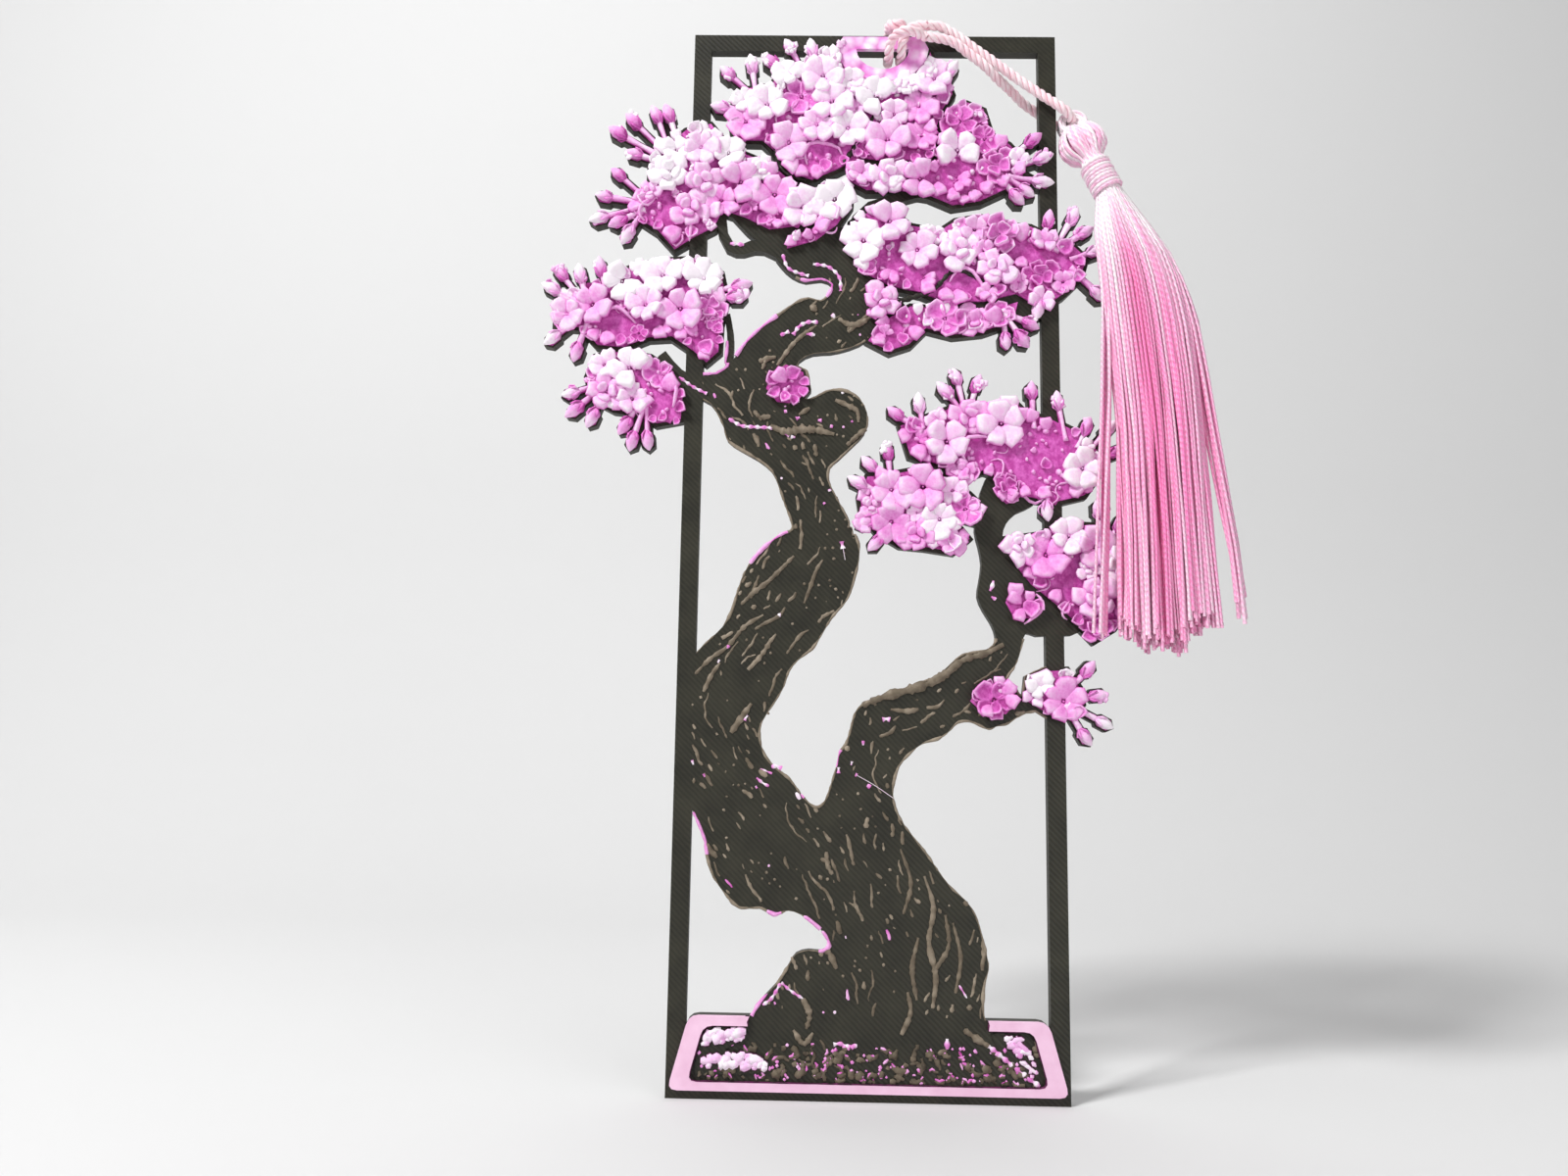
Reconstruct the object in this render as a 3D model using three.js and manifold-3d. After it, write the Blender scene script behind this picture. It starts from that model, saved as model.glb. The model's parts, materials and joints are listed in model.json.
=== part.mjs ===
// A printed bookmark: a flowering dwarf tree in a pot, inside a slim upright frame, with a tassel on a cord.
// Millimetres. X runs to the right, Z up, and the front faces -Y. The origin is the middle of the bottom edge.

import * as THREE from "three";
import Module from "manifold-3d";
import { mergeVertices } from "three/addons/utils/BufferGeometryUtils.js";

const wasm = await Module();
wasm.setup();

// Driving sizes
const gap = 0.3; // left between a cut piece and its neighbour
const frame = { width: 53, height: 150, rail: 2.5, thickness: 1.6 };
const backing = { edge: 0.6, leastGap: 4.4 }; // black border around the blossom; smaller gaps, in mm2, are filled
const blossom = { sheet: 0.45, petalRise: 0.35, stagger: 0.14, heart: 0.16, radius: 2.4, spacing: 4.8 };
const bud = { length: 2.6, width: 1.7, stem: 0.7, rise: 0.3, sides: 6, edge: 0.3 };
const pot = { inset: 0.3, taper: 2.6, height: 9.4, lift: 1.2, corner: 1.3 }; // inset from the frame's sides
const potRim = { side: 2.2, bottom: 1.05, top: 1.2, rise: 0.7 };
const moss = { rise: 0.5 };
const cordHole = { left: -2.7, right: 5, depth: 3.2 }; // round-bottomed hole under the top rail
const cordRing = { side: 2.9, bottom: 1.9, top: 1.9, rise: 0.75 }; // pale ring around that hole
const cord = { diameter: 1.2, sides: 8, spread: 1.7, turn: 2.4 }; // two strands lie side by side
const tassel = { out: 2.35, drop: 13.4, forward: 0.3, tilt: 22, lean: 10 }; // where its eye hangs, off the frame
const head = { length: 6.9, width: 6.2, depth: 4.6, lobeWidth: 3.5, eyeWeb: 0.9, eyeRim: 2 };
const neck = { radius: 1.75, length: 5.2 };
const binding = { diameter: 0.5, pitch: 0.95, turns: 5, sides: 6, steps: 24 };
const skirt = { length: 60, width: 22, depth: 5.2, clear: 3.2, drift: 5.6, shoulder: 1.9, strands: 36, strand: 0.55 };

const front = -frame.thickness / 2; // the plate's front face, where every relief begins
const back = frame.thickness / 2;
const railTop = frame.height - frame.rail;
const inside = frame.width / 2 - frame.rail;

// The tree is drawn on a grid of 53 by 150 squares, stretched over the frame.
const across = (column) => (column * frame.width) / 53;
const up = (row) => (row * frame.height) / 150;
const place = ([column, row]) => new THREE.Vector2(across(column), up(row));

// The trunk with its two stems, clockwise from the left root.
const trunkOutline = [
  [-15.6, 9], [-15.2, 10.8], [-13.9, 12.8], [-12, 14.8], [-10.5, 17.2], [-9.6, 18.6], [-7.9, 19.1], [-6.2, 19],
  [-5.2, 19.7], [-5.8, 21.2], [-7.3, 22.6], [-9, 23.7], [-10.8, 24.2], [-12.5, 23.6], [-14.4, 24.5], [-17.2, 24.4],
  [-19, 26], [-20.8, 28.4], [-21.7, 31], [-22, 33], [-23.2, 35.8], [-24.3, 38], [-25.6, 42], [-25.8, 47],
  [-25.6, 52], [-25, 56], [-23.9, 58.4], [-22.2, 60.2], [-20.4, 62], [-19.2, 64.2], [-18.4, 67], [-17.5, 69.7],
  [-16.3, 71.6], [-14.5, 73.6], [-12.4, 75.2], [-11.3, 75.6], [-10.9, 76.2], [-12, 79.2], [-13.1, 82.4],
  [-14, 84.2], [-16, 85.8], [-18.5, 87.2], [-20.3, 88.5], [-20.8, 90.2], [-21.6, 92], [-22.8, 93.8], [-25, 95],
  [-26, 96.6], [-24.6, 98], [-22.2, 98.2], [-20.5, 99.4], [-19.4, 100.8], [-18.3, 102.5], [-16.8, 104.2],
  [-15, 105.8], [-13, 107.3], [-11, 108.8], [-9.2, 109.5], [-7.4, 109.1], [-6.4, 110], [-5.8, 111.6],
  [-7.4, 112.4], [-9.6, 112.1], [-11.6, 112.9], [-13.2, 114.4], [-14.4, 116.4], [-14, 118.6], [-10, 120],
  [-3, 120], [1, 116], [2, 110], [1, 106.4], [-0.6, 103.6], [-3.2, 102.2], [-6, 101.5], [-8.4, 101.3],
  [-10.4, 100.2], [-11, 98], [-10.6, 95.6], [-9.4, 94.6], [-8, 94.9], [-6.4, 95.8], [-4.5, 96], [-2.5, 95.3],
  [-1.1, 93.7], [-0.6, 91.8], [-1, 89.8], [-2.6, 88], [-4.6, 86], [-6, 84.6], [-6.1, 83], [-5.1, 80.8],
  [-3.9, 78.6], [-2.7, 76.2], [-1.7, 73.8], [-1.7, 71.6], [-2.2, 69.4], [-2.8, 67.2], [-3.6, 65.6], [-5.2, 63.8],
  [-6.6, 61.4], [-8, 59.2], [-9.9, 57.7], [-11.2, 56], [-11.8, 54], [-13.3, 51.4], [-14.8, 49], [-15, 47],
  [-14.2, 44.6], [-12.6, 42.8], [-10.9, 41.6], [-9.4, 39.7], [-8, 38.2], [-7, 37.8], [-6, 38.6], [-5.2, 40.8],
  [-4.4, 43.6], [-4.1, 45.2], [-3.2, 46.4], [-2.5, 48.8], [-2, 50.6], [-0.9, 51.8], [1, 52.5], [3.6, 53.6],
  [6.4, 54.7], [8.4, 55.4], [10, 56.5], [11.4, 57.8], [12.8, 58.8], [15, 59.2], [16.8, 60], [17.2, 61.2],
  [16.6, 63], [15.5, 64.8], [14.7, 66.8], [15, 69], [15.3, 71.4], [14.9, 73.8], [14.4, 76], [14.8, 79],
  [16, 83.5], [17.4, 83.5], [17.4, 80.4], [18.5, 79], [20.4, 79.9], [22.4, 80.6], [22.6, 79.8], [20.2, 78.6],
  [18.7, 77], [18.2, 75.2], [18.7, 73], [20, 70], [22, 66.5], [25, 65.6], [27.6, 64.4], [29, 62.6], [27.6, 61.6],
  [25, 61.6], [22.8, 61.4], [21.3, 61.8], [20.8, 60.4], [20.3, 58.6], [19.6, 57], [18.6, 55.6], [19.4, 54.2],
  [20.6, 53.2], [22.4, 53.6], [24, 52.6], [22.6, 51.2], [21.2, 51], [19.8, 50.2], [18.6, 49.4], [17.2, 49.1],
  [16.2, 48.6], [15, 49.1], [13.4, 49.7], [11.9, 49.5], [10.8, 48.3], [9.4, 47.3], [7.4, 46.7], [5.4, 45.2],
  [3.9, 43.4], [3.2, 41], [3.2, 39], [4, 36.7], [5.8, 34.2], [7.4, 32.3], [8.9, 30.2], [10, 28.7], [11.2, 27.3],
  [12.9, 25.9], [14.2, 24], [15, 21.4], [15.6, 19], [15.9, 17.2], [15.4, 15.6], [15.1, 13.5], [15.2, 11.2],
  [15.6, 9],
];

// Thin branches: their centre lines and the width at each end.
const twigs = [
  { line: [[-22, 96.6], [-25, 96.6], [-27.6, 98], [-30, 101]], widths: [2.6, 1.4] },
  { line: [[-20.4, 99.6], [-20.2, 102], [-20.3, 104.4], [-20.8, 107]], widths: [1, 0.9] },
  { line: [[-13.4, 116.4], [-16.4, 117.5], [-19.2, 116.6], [-21.2, 117.8], [-22, 122.4]], widths: [2, 1.3] },
  { line: [[-21, 123], [-19, 120.8], [-16.6, 118.6], [-13.6, 118]], widths: [0.9, 1.2] },
  { line: [[-3, 119], [-1.4, 122.6], [2, 124.2], [5, 125.2], [8.6, 125.8]], widths: [2.2, 1.1] },
  { line: [[-17.4, 135], [-14.6, 131.6], [-12.8, 128.4], [-9.6, 126.6]], widths: [0.9, 1.4] },
  { line: [[21, 129.2], [22.4, 128.4], [24.2, 127.4]], widths: [0.9, 0.8] },
];

// Blossom clusters. Each outline is the edge of the flowers; a bud is given by its tip and where its stem begins.
const clusters = {
  crown: {
    outline: [
      [-20.4, 133.4], [-20.8, 136.4], [-20.4, 139.8], [-18.4, 141.4], [-15, 142], [-13.8, 144.4], [-10.6, 145.2],
      [-8.2, 146.8], [-5.2, 148.5], [-1.5, 149.2], [3, 149.3], [7.6, 148.8], [8.6, 146], [10.4, 143.2],
      [11.4, 140.8], [9.8, 138.2], [8.8, 134.6], [8.4, 130.8], [3, 130.2], [-2, 130.8], [-5.4, 129],
      [-9, 127.4], [-12.4, 128.6], [-13.8, 131.2], [-16.2, 133.4],
    ],
    buds: [
      [-21.5, 143.7, -18, 140.6], [-18, 145, -17.4, 141], [-22.4, 138.3, -19.6, 138], [-15.2, 145.5, -12.6, 143.6],
      [-12.5, 147.9, -10.6, 144.4], [-9.2, 147.6, -9, 144.8], [11.2, 144.4, 9.4, 141.4],
    ],
  },
  crown_right: {
    outline: [
      [9.7, 134.8], [10.8, 138], [13.6, 139.4], [15.9, 138.4], [17, 134.6], [19.6, 133], [21.8, 130.4],
      [21.4, 127.4], [18.6, 126], [15.4, 124.4], [11.4, 123.7], [8, 125.2], [3, 126], [-1, 125.9], [-3.8, 127.4],
      [-3, 129.5], [3, 129.3], [9, 129.9],
    ],
    buds: [
      [23, 133.6, 20, 131.2], [24.4, 130.9, 20.6, 129.6], [24.3, 127.2, 20.4, 127.8], [20.6, 124.8, 18.6, 127.4],
      [22, 125.8, 19, 128],
    ],
  },
  crown_stem: {
    outline: [
      [-8, 125.6], [-5.6, 127.2], [-3.4, 126.2], [-3.4, 123.6], [-5.2, 120.6], [-8.2, 118.2], [-12.4, 116.9],
      [-12.2, 118.4], [-8.6, 119.9], [-6.8, 122.4],
    ],
    buds: [],
  },
  upper_left: {
    outline: [
      [-28.6, 116.6], [-31, 119.4], [-33.8, 121.2], [-34.4, 124.4], [-32.4, 126.6], [-32.4, 130.4], [-30, 132.4],
      [-27.4, 134.8], [-23.8, 135.8], [-22, 133.4], [-18.8, 131.2], [-14.6, 129.4], [-11.6, 126.6],
      [-8.4, 124.6], [-8, 122.4], [-11.2, 120.3], [-15, 119.8], [-18.6, 121.6], [-21.8, 122.6], [-23, 120],
      [-26, 118.4],
    ],
    buds: [
      [-37.3, 134.2, -31, 130.6], [-35.1, 136, -30.4, 131.4], [-34.8, 131, -31.6, 130], [-31.8, 137, -29.8, 131.8],
      [-30, 137.2, -28.6, 133], [-37, 127.8, -33.4, 124.6], [-38.9, 124.4, -34, 123.6],
      [-39.6, 121.1, -33.2, 123], [-35.4, 118.6, -33.6, 121.8], [-36.8, 120.6, -33, 122.4],
    ],
  },
  second_tier: {
    outline: [
      [-3.6, 117.4], [-3.2, 120.8], [-0.4, 122.6], [2.6, 122.8], [5.4, 120.4], [9.6, 119.7], [11.8, 121.2],
      [15.4, 121.9], [18.4, 120.8], [22.6, 120.4], [25.6, 118.8], [28.6, 117.6], [30.4, 115.8], [29.6, 113],
      [27, 110.4], [24, 108.2], [20.4, 110.4], [16, 109.2], [10.4, 109], [7, 110.4], [2.4, 111.4], [-1.8, 113.6],
    ],
    buds: [
      [25.1, 121.4, 24.4, 118.4], [28.6, 121.9, 26.4, 118], [30.2, 119.6, 27, 117.4], [31.6, 116.8, 28.4, 115.6],
      [32, 110.4, 29, 113.4], [23.4, 107.9, 24, 110.6],
    ],
  },
  second_tier_low: {
    outline: [[-0.6, 111], [2.4, 110.5], [4, 108.6], [2.4, 107.2], [-0.2, 107.2]],
    buds: [],
  },
  second_tier_hem: {
    outline: [
      [-0.6, 103.2], [1.4, 106], [5.4, 108.3], [10.6, 107.9], [15.6, 107.6], [20.6, 109.1], [20, 106.4],
      [15.6, 104.8], [11.4, 104.3], [7.6, 105.2], [5.2, 102.8], [2.4, 101.8],
    ],
    buds: [[18.8, 103.3, 18.6, 106.6], [21.1, 103.6, 19, 106.8], [22.3, 105.8, 19, 107.4]],
  },
  left_canopy: {
    outline: [
      [-40.8, 110.6], [-37.4, 112.6], [-33.6, 114.2], [-29, 114.9], [-25, 115.2], [-21.8, 113], [-21, 109.4],
      [-21.8, 105.6], [-21.9, 101.4], [-23.6, 99.8], [-25.4, 101.4], [-28.6, 103.6], [-32, 103.4],
      [-35.4, 101.9], [-39.2, 102.2], [-41.6, 104.8], [-45.4, 105], [-45.2, 107.6], [-43, 109.4],
    ],
    buds: [
      [-46, 110.4, -42.4, 108.6], [-44.8, 112.6, -41.8, 109], [-42, 112.6, -41.2, 109.6], [-39.1, 113.6, -38.4, 110.4],
      [-18.8, 111.1, -22, 110.4], [-19.4, 109.4, -22, 109.4], [-45.6, 103, -42.8, 105.4], [-42.1, 101, -41, 104.4],
    ],
  },
  left_canopy_low: {
    outline: [
      [-39.4, 100.4], [-35.6, 101.2], [-31.6, 100.4], [-28.4, 98.4], [-26.8, 95], [-27, 91.4], [-30.4, 90.8],
      [-33, 92.4], [-36.4, 92.8], [-39.6, 94.4], [-40.4, 97.4],
    ],
    buds: [
      [-42.6, 94.9, -39, 96.2], [-42, 92.5, -38.8, 95.4], [-39.5, 91.4, -38.2, 94.8], [-34.8, 90.3, -33.2, 93],
      [-33.7, 88.1, -32.4, 92.4], [-31.5, 88.2, -31.8, 92],
    ],
  },
  trunk: {
    outline: [[-15, 96], [-14.2, 98.4], [-12.2, 99.5], [-9.8, 98.4], [-9.2, 96], [-10.8, 93.9], [-13.4, 94.1]],
    buds: [],
  },
  right_canopy: {
    outline: [
      [4, 90.8], [8, 92.2], [11.6, 93.6], [16, 93.8], [19.8, 94.8], [21.6, 92.8], [25.4, 91.8], [28.6, 90.2],
      [31.4, 87.6], [31.4, 83.8], [29.6, 81.2], [25.6, 80.2], [21, 81], [18.8, 79.8], [17.4, 81], [17, 84],
      [15.6, 84.6], [13, 83.4], [9.8, 85.2], [5.4, 86.6],
    ],
    buds: [
      [3.3, 92.5, 5.4, 91], [6.6, 94, 7, 91.4], [10.2, 95.9, 12.6, 93], [11.8, 97.9, 13, 93], [14.7, 96.9, 13.6, 93],
      [22.4, 96, 22.6, 92], [26, 94.6, 26.6, 91.4], [30, 90.9, 28.6, 87.8], [33, 90.6, 30, 87.2], [34, 87.4, 30.6, 86],
      [24.3, 78.9, 24.4, 81.2],
    ],
  },
  right_canopy_left: {
    outline: [
      [-1.6, 80.6], [-0.6, 83.4], [3, 83.8], [6.8, 84.6], [9.6, 83.8], [12.8, 81.8], [15.6, 79.2], [14.2, 77.2],
      [11.6, 77.4], [13.6, 74.8], [11.4, 73], [7.6, 73.6], [4, 73.9], [0.8, 75.8], [-1.2, 78],
    ],
    buds: [
      [-0.4, 85.2, 2.2, 82.8], [2.2, 87, 2.6, 83.2], [-0.9, 76.9, 1.6, 78.2], [0.6, 74, 2.6, 76.6], [-2, 82.6, 0.6, 81.4],
    ],
  },
  right_canopy_low: {
    outline: [
      [18.6, 74.9], [23, 75.4], [27, 77], [31.4, 76.8], [34.4, 75.2], [35.6, 71.6], [35.6, 66], [33.2, 62.6],
      [30.6, 60.8], [28.4, 63.2], [25.4, 65.9], [22, 68.6], [19.8, 71.4],
    ],
    buds: [[31.5, 79.2, 31.6, 75.8], [34.4, 77.2, 32.8, 74.6]],
  },
  right_leaf: {
    outline: [[18.5, 66], [19.8, 68.2], [21.8, 67.3], [23.6, 65.4], [22, 63.8], [19.6, 64]],
    buds: [],
  },
  sprig_leaf: {
    outline: [[13.6, 52.4], [15, 54.2], [17.8, 55.4], [19.4, 54], [20, 52.4], [18.4, 50.7], [15.4, 50.7]],
    buds: [],
  },
  sprig: {
    outline: [
      [21.2, 52.6], [21.6, 55.6], [24, 56.6], [26.8, 56.8], [28.4, 54.4], [28.8, 52.2], [27.4, 50.4], [24.6, 50.6],
    ],
    buds: [
      [29.6, 56.9, 27.2, 54.4], [30.8, 53.4, 27.4, 53], [31.6, 49.7, 27.6, 51.8], [29, 47.8, 26.8, 51.4],
    ],
  },
};

// Where the black tree is cut into pieces: boxes of left, bottom, right and top, taken in this order.
// Each cut is a straight line across a stem, or runs through open air.
const far = 90;
const rail = 25.2; // a column within the rails' width, where the sheet is cut anyway
const cuts = {
  pot_base: [[-far, -far, far, 10.6]],
  trunk_foot: [[-far, 10.6, far, 38.4]],
  left_stem: [[-rail, 38.4, -7, 56], [-rail, 56, -1.2, 75.2], [-rail, 75.2, -2.6, 76.3]],
  right_stem: [[-7, 38.4, rail, 61]],
  sprig_plate: [[rail, 38.4, far, 59.6]],
  right_canopy_plate_outer: [[rail, 59.6, far, 100]],
  trunk_head: [
    [-rail, 76.3, -3.1, 80], [-rail, 80, -4.2, 86], [-rail, 86, -2.4, 88.2], [-rail, 88.2, 0.4, 98.9],
    [-21, 98.9, -1.2, 103],
  ],
  right_canopy_plate: [[-4.2, 61, rail, 100]],
  trunk_top: [[-19.6, 103, -0.4, 107.4], [-16.8, 107.4, -0.4, 112.6]],
  left_canopy_plate: [[-far, 76.3, -rail, 116]],
  left_canopy_plate_inner: [[-rail, 98.9, -19.6, 116], [-19.6, 107.4, -16.8, 116]],
  second_tier_plate: [[-4.1, 100, rail, 119.5], [-2.6, 119.5, rail, 123]],
  second_tier_plate_outer: [[rail, 100, far, 126]],
  upper_left_plate: [[-far, 116, -rail, 150]],
  upper_left_plate_inner: [[-rail, 112.6, -9, 132], [-rail, 132, -19.2, 132.9], [-rail, 132.9, -21.3, 137]],
  crown_stem_plate: [[-9, 112.6, -2.6, 127], [-6.8, 127, -2.6, 127.8]],
  crown_plate: [[-rail, 112.6, rail, 150]],
};

const mossPatches = {
  moss_left: [
    [-21.5, 9], [-19, 9.2], [-16.6, 9.2], [-15.8, 8.2], [-17.6, 7], [-18.8, 6.3], [-16.4, 6], [-13.4, 5.2],
    [-12.9, 4], [-16, 3.3], [-20, 3.2], [-22.6, 3], [-22.4, 5.6],
  ],
  moss_right: [
    [16.2, 8.9], [18.6, 9], [20.6, 8.4], [21.6, 6], [22.4, 3.9], [21.4, 3.2], [19.6, 4.6], [17.4, 6.8],
  ],
};

// Solids and shapes
function toSolid(geometry) {
  const bare = geometry.clone();
  bare.deleteAttribute("normal");
  bare.deleteAttribute("uv");
  const merged = mergeVertices(bare, 1e-4);
  const triVerts = Uint32Array.from(merged.index.array);
  const vertProperties = Float32Array.from(merged.attributes.position.array);
  return new wasm.Manifold(new wasm.Mesh({ numProp: 3, vertProperties, triVerts }));
}

function toGeometry(solid) {
  const { vertProperties, triVerts } = solid.getMesh();
  const geometry = new THREE.BufferGeometry();
  geometry.setAttribute("position", new THREE.BufferAttribute(Float32Array.from(vertProperties), 3));
  geometry.setIndex(new THREE.BufferAttribute(Uint32Array.from(triVerts), 1));
  geometry.computeVertexNormals();
  return geometry;
}

const union = (solids) => wasm.Manifold.union(solids);

// A flat plate of this outline, from the depth `from` towards the front.
function plate(points, from, thickness) {
  const shape = new THREE.Shape(points);
  const geometry = new THREE.ExtrudeGeometry(shape, { depth: thickness, bevelEnabled: false });
  geometry.rotateX(Math.PI / 2);
  geometry.translate(0, from, 0);
  return toSolid(geometry);
}

function block(x0, y0, z0, x1, y1, z1) {
  const geometry = new THREE.BoxGeometry(x1 - x0, y1 - y0, z1 - z0);
  geometry.translate((x0 + x1) / 2, (y0 + y1) / 2, (z0 + z1) / 2);
  return toSolid(geometry);
}

// A smooth closed line through the points, with some steps between each pair.
function smoothLoop(points, steps) {
  const corners = points.map((p) => new THREE.Vector3(p.x, p.y, 0));
  const curve = new THREE.CatmullRomCurve3(corners, true, "centripetal");
  return curve.getPoints(points.length * steps).slice(0, -1).map((p) => new THREE.Vector2(p.x, p.y));
}

// The same loop moved outwards.
function grown(points, distance) {
  const turn = THREE.ShapeUtils.isClockWise(points) ? 1 : -1;
  return points.map((point, i) => {
    const before = points[(i + points.length - 1) % points.length];
    const after = points[(i + 1) % points.length];
    const along = after.clone().sub(before).normalize();
    return point.clone().add(new THREE.Vector2(-along.y, along.x).multiplyScalar(turn * distance));
  });
}

// A strip along a line, with a width that changes evenly from its start to its end.
function strip(line, startWidth, endWidth, steps) {
  const curve = new THREE.CatmullRomCurve3(line.map((p) => new THREE.Vector3(p.x, p.y, 0)), false, "centripetal");
  const sides = [[], []];
  for (let i = 0; i <= steps; i += 1) {
    const t = i / steps;
    const middle = curve.getPoint(t);
    const along = curve.getTangent(t);
    const half = THREE.MathUtils.lerp(startWidth, endWidth, t) / 2;
    sides[0].push(new THREE.Vector2(middle.x - along.y * half, middle.y + along.x * half));
    sides[1].unshift(new THREE.Vector2(middle.x + along.y * half, middle.y - along.x * half));
  }
  return [...sides[0], ...sides[1]];
}

// A tube along a curve.
function tube(curve, diameter, sides, steps) {
  const section = new THREE.Shape();
  for (let i = 0; i < sides; i += 1) {
    const angle = (2 * Math.PI * i) / sides;
    const x = (diameter / 2) * Math.cos(angle);
    const y = (diameter / 2) * Math.sin(angle);
    if (i === 0) section.moveTo(x, y);
    else section.lineTo(x, y);
  }
  return new THREE.ExtrudeGeometry(section, { steps, extrudePath: curve, bevelEnabled: false });
}

// Materials
const finish = (color, roughness) => new THREE.MeshStandardMaterial({ color, roughness, metalness: 0 });
const black = finish(0x1d1c1b, 0.55);
const pink = finish(0xd27fcd, 0.45);
const palePink = finish(0xf2cdea, 0.45);
const yarn = finish(0xf3bccb, 0.8);
const silk = finish(0xf0a5c6, 0.5);

const bookmark = new THREE.Group();

function addMesh(name, geometry, material) {
  const mesh = new THREE.Mesh(geometry, material);
  mesh.name = name;
  bookmark.add(mesh);
  return mesh;
}

// Each separate body of a solid becomes a piece of its own, the largest first.
function addPieces(name, solid, material) {
  const bodies = solid.decompose().filter((body) => body.volume() > 0.4);
  bodies.sort((a, b) => b.volume() - a.volume());
  bodies.forEach((body, i) => addMesh(i === 0 ? name : `${name}_${i + 1}`, toGeometry(body), material));
}

// The solid with its small through gaps filled, over this span of depth.
function filled(solid, from, thickness) {
  const air = block(-far, from - thickness, -far, far, from, 2 * far).subtract(solid);
  const gaps = air.decompose().filter((body) => body.volume() < backing.leastGap * thickness);
  return union([solid, ...gaps]);
}

// Frame rails
const rails = {
  left_rail: [-frame.width / 2, 0, -inside, frame.height],
  right_rail: [inside, 0, frame.width / 2, frame.height],
  top_rail: [-inside, railTop, inside, frame.height],
  bottom_rail: [-inside, 0, inside, pot.lift],
};
for (const [name, [x0, z0, x1, z1]] of Object.entries(rails)) {
  const geometry = new THREE.BoxGeometry(x1 - x0, frame.thickness, z1 - z0);
  geometry.translate((x0 + x1) / 2, 0, (z0 + z1) / 2);
  addMesh(name, geometry, black);
}

// Pot
function potLoop(inset, corner) {
  const bottom = pot.lift + inset.bottom;
  const top = pot.lift + pot.height - inset.top;
  const slope = pot.taper / pot.height;
  const halfAt = (z) => frame.width / 2 - pot.inset - slope * (z - pot.lift) - inset.side * Math.hypot(1, slope);
  const corners = [
    new THREE.Vector2(-halfAt(bottom), bottom), new THREE.Vector2(-halfAt(top), top),
    new THREE.Vector2(halfAt(top), top), new THREE.Vector2(halfAt(bottom), bottom),
  ];
  const loop = [];
  corners.forEach((point, i) => {
    const before = corners[(i + 3) % 4].clone().sub(point).setLength(corner);
    const after = corners[(i + 1) % 4].clone().sub(point).setLength(corner);
    for (let k = 0; k <= 3; k += 1) {
      const t = k / 3;
      const bend = before.clone().multiplyScalar((1 - t) ** 2).add(after.clone().multiplyScalar(t ** 2));
      loop.push(point.clone().add(bend));
    }
  });
  return loop;
}

// Black tree: trunk, twigs and the plates behind the blossom, as one sheet that is then cut up
const trunkLoop = smoothLoop(trunkOutline.map(place), 2);
const sheet = [plate(trunkLoop, back, frame.thickness)];
const potOutline = potLoop({ side: 0, bottom: 0, top: 0 }, pot.corner);
const potInner = potLoop(potRim, pot.corner);
sheet.push(plate(potOutline, back, frame.thickness));
for (const { line, widths } of twigs) {
  sheet.push(plate(strip(line.map(place), widths[0], widths[1], 6), back, frame.thickness));
}

// Blossom
function insideLoop(point, loop) {
  let odd = false;
  loop.forEach((a, i) => {
    const b = loop[(i + 1) % loop.length];
    if (a.y > point.y !== b.y > point.y) {
      const x = a.x + ((point.y - a.y) / (b.y - a.y)) * (b.x - a.x);
      if (point.x < x) odd = !odd;
    }
  });
  return odd;
}

function distanceToLoop(point, loop) {
  let least = Infinity;
  loop.forEach((a, i) => {
    const b = loop[(i + 1) % loop.length];
    const side = new THREE.Line3(new THREE.Vector3(a.x, a.y, 0), new THREE.Vector3(b.x, b.y, 0));
    const foot = side.closestPointToPoint(new THREE.Vector3(point.x, point.y, 0), true, new THREE.Vector3());
    least = Math.min(least, Math.hypot(foot.x - point.x, foot.y - point.y));
  });
  return least;
}

// Flowers stand on a loose triangular grid wherever one fits inside the outline.
function flowerSpots(loop) {
  const box = new THREE.Box2().setFromPoints(loop);
  const rowHeight = blossom.spacing * Math.sin(Math.PI / 3);
  const spots = [];
  let row = 0;
  for (let z = box.min.y + blossom.radius * 0.7; z < box.max.y; z += rowHeight) {
    const shift = row % 2 === 0 ? 0.35 : 0.85;
    for (let x = box.min.x + shift * blossom.spacing; x < box.max.x; x += blossom.spacing) {
      const turn = row * 2.4 + spots.length * 1.7;
      const spot = new THREE.Vector2(x + 0.45 * Math.sin(turn * 3.1), z + 0.4 * Math.cos(turn * 2.3));
      const room = distanceToLoop(spot, loop);
      const radius = blossom.radius * (0.94 + 0.16 * Math.sin(turn * 5.3));
      const level = spots.length % 3;
      if (insideLoop(spot, loop) && room > radius * 0.66) spots.push({ spot, radius, turn, level });
    }
    row += 1;
  }
  return spots;
}

// A five-petalled flower, as a low star with a raised heart.
function flower({ spot, radius, turn, level }) {
  const height = blossom.sheet + blossom.petalRise + level * blossom.stagger;
  const rim = [];
  for (let i = 0; i < 10; i += 1) {
    const reach = radius * (i % 2 === 0 ? 1 : 0.74);
    const angle = turn + (i * Math.PI) / 5;
    rim.push([spot.x + reach * Math.cos(angle), spot.y + reach * Math.sin(angle)]);
  }
  const positions = [spot.x, front, spot.y, spot.x, front - height - blossom.heart, spot.y];
  rim.forEach(([x, z]) => positions.push(x, front, z, x, front - height, z));
  const index = [];
  rim.forEach((point, i) => {
    const a = 2 + 2 * i;
    const b = 2 + 2 * ((i + 1) % rim.length);
    index.push(0, b, a, 1, a + 1, b + 1, a, b, b + 1, a, b + 1, a + 1);
  });
  const geometry = new THREE.BufferGeometry();
  geometry.setAttribute("position", new THREE.Float32BufferAttribute(positions, 3));
  geometry.setIndex(index);
  return toSolid(geometry);
}

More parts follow.
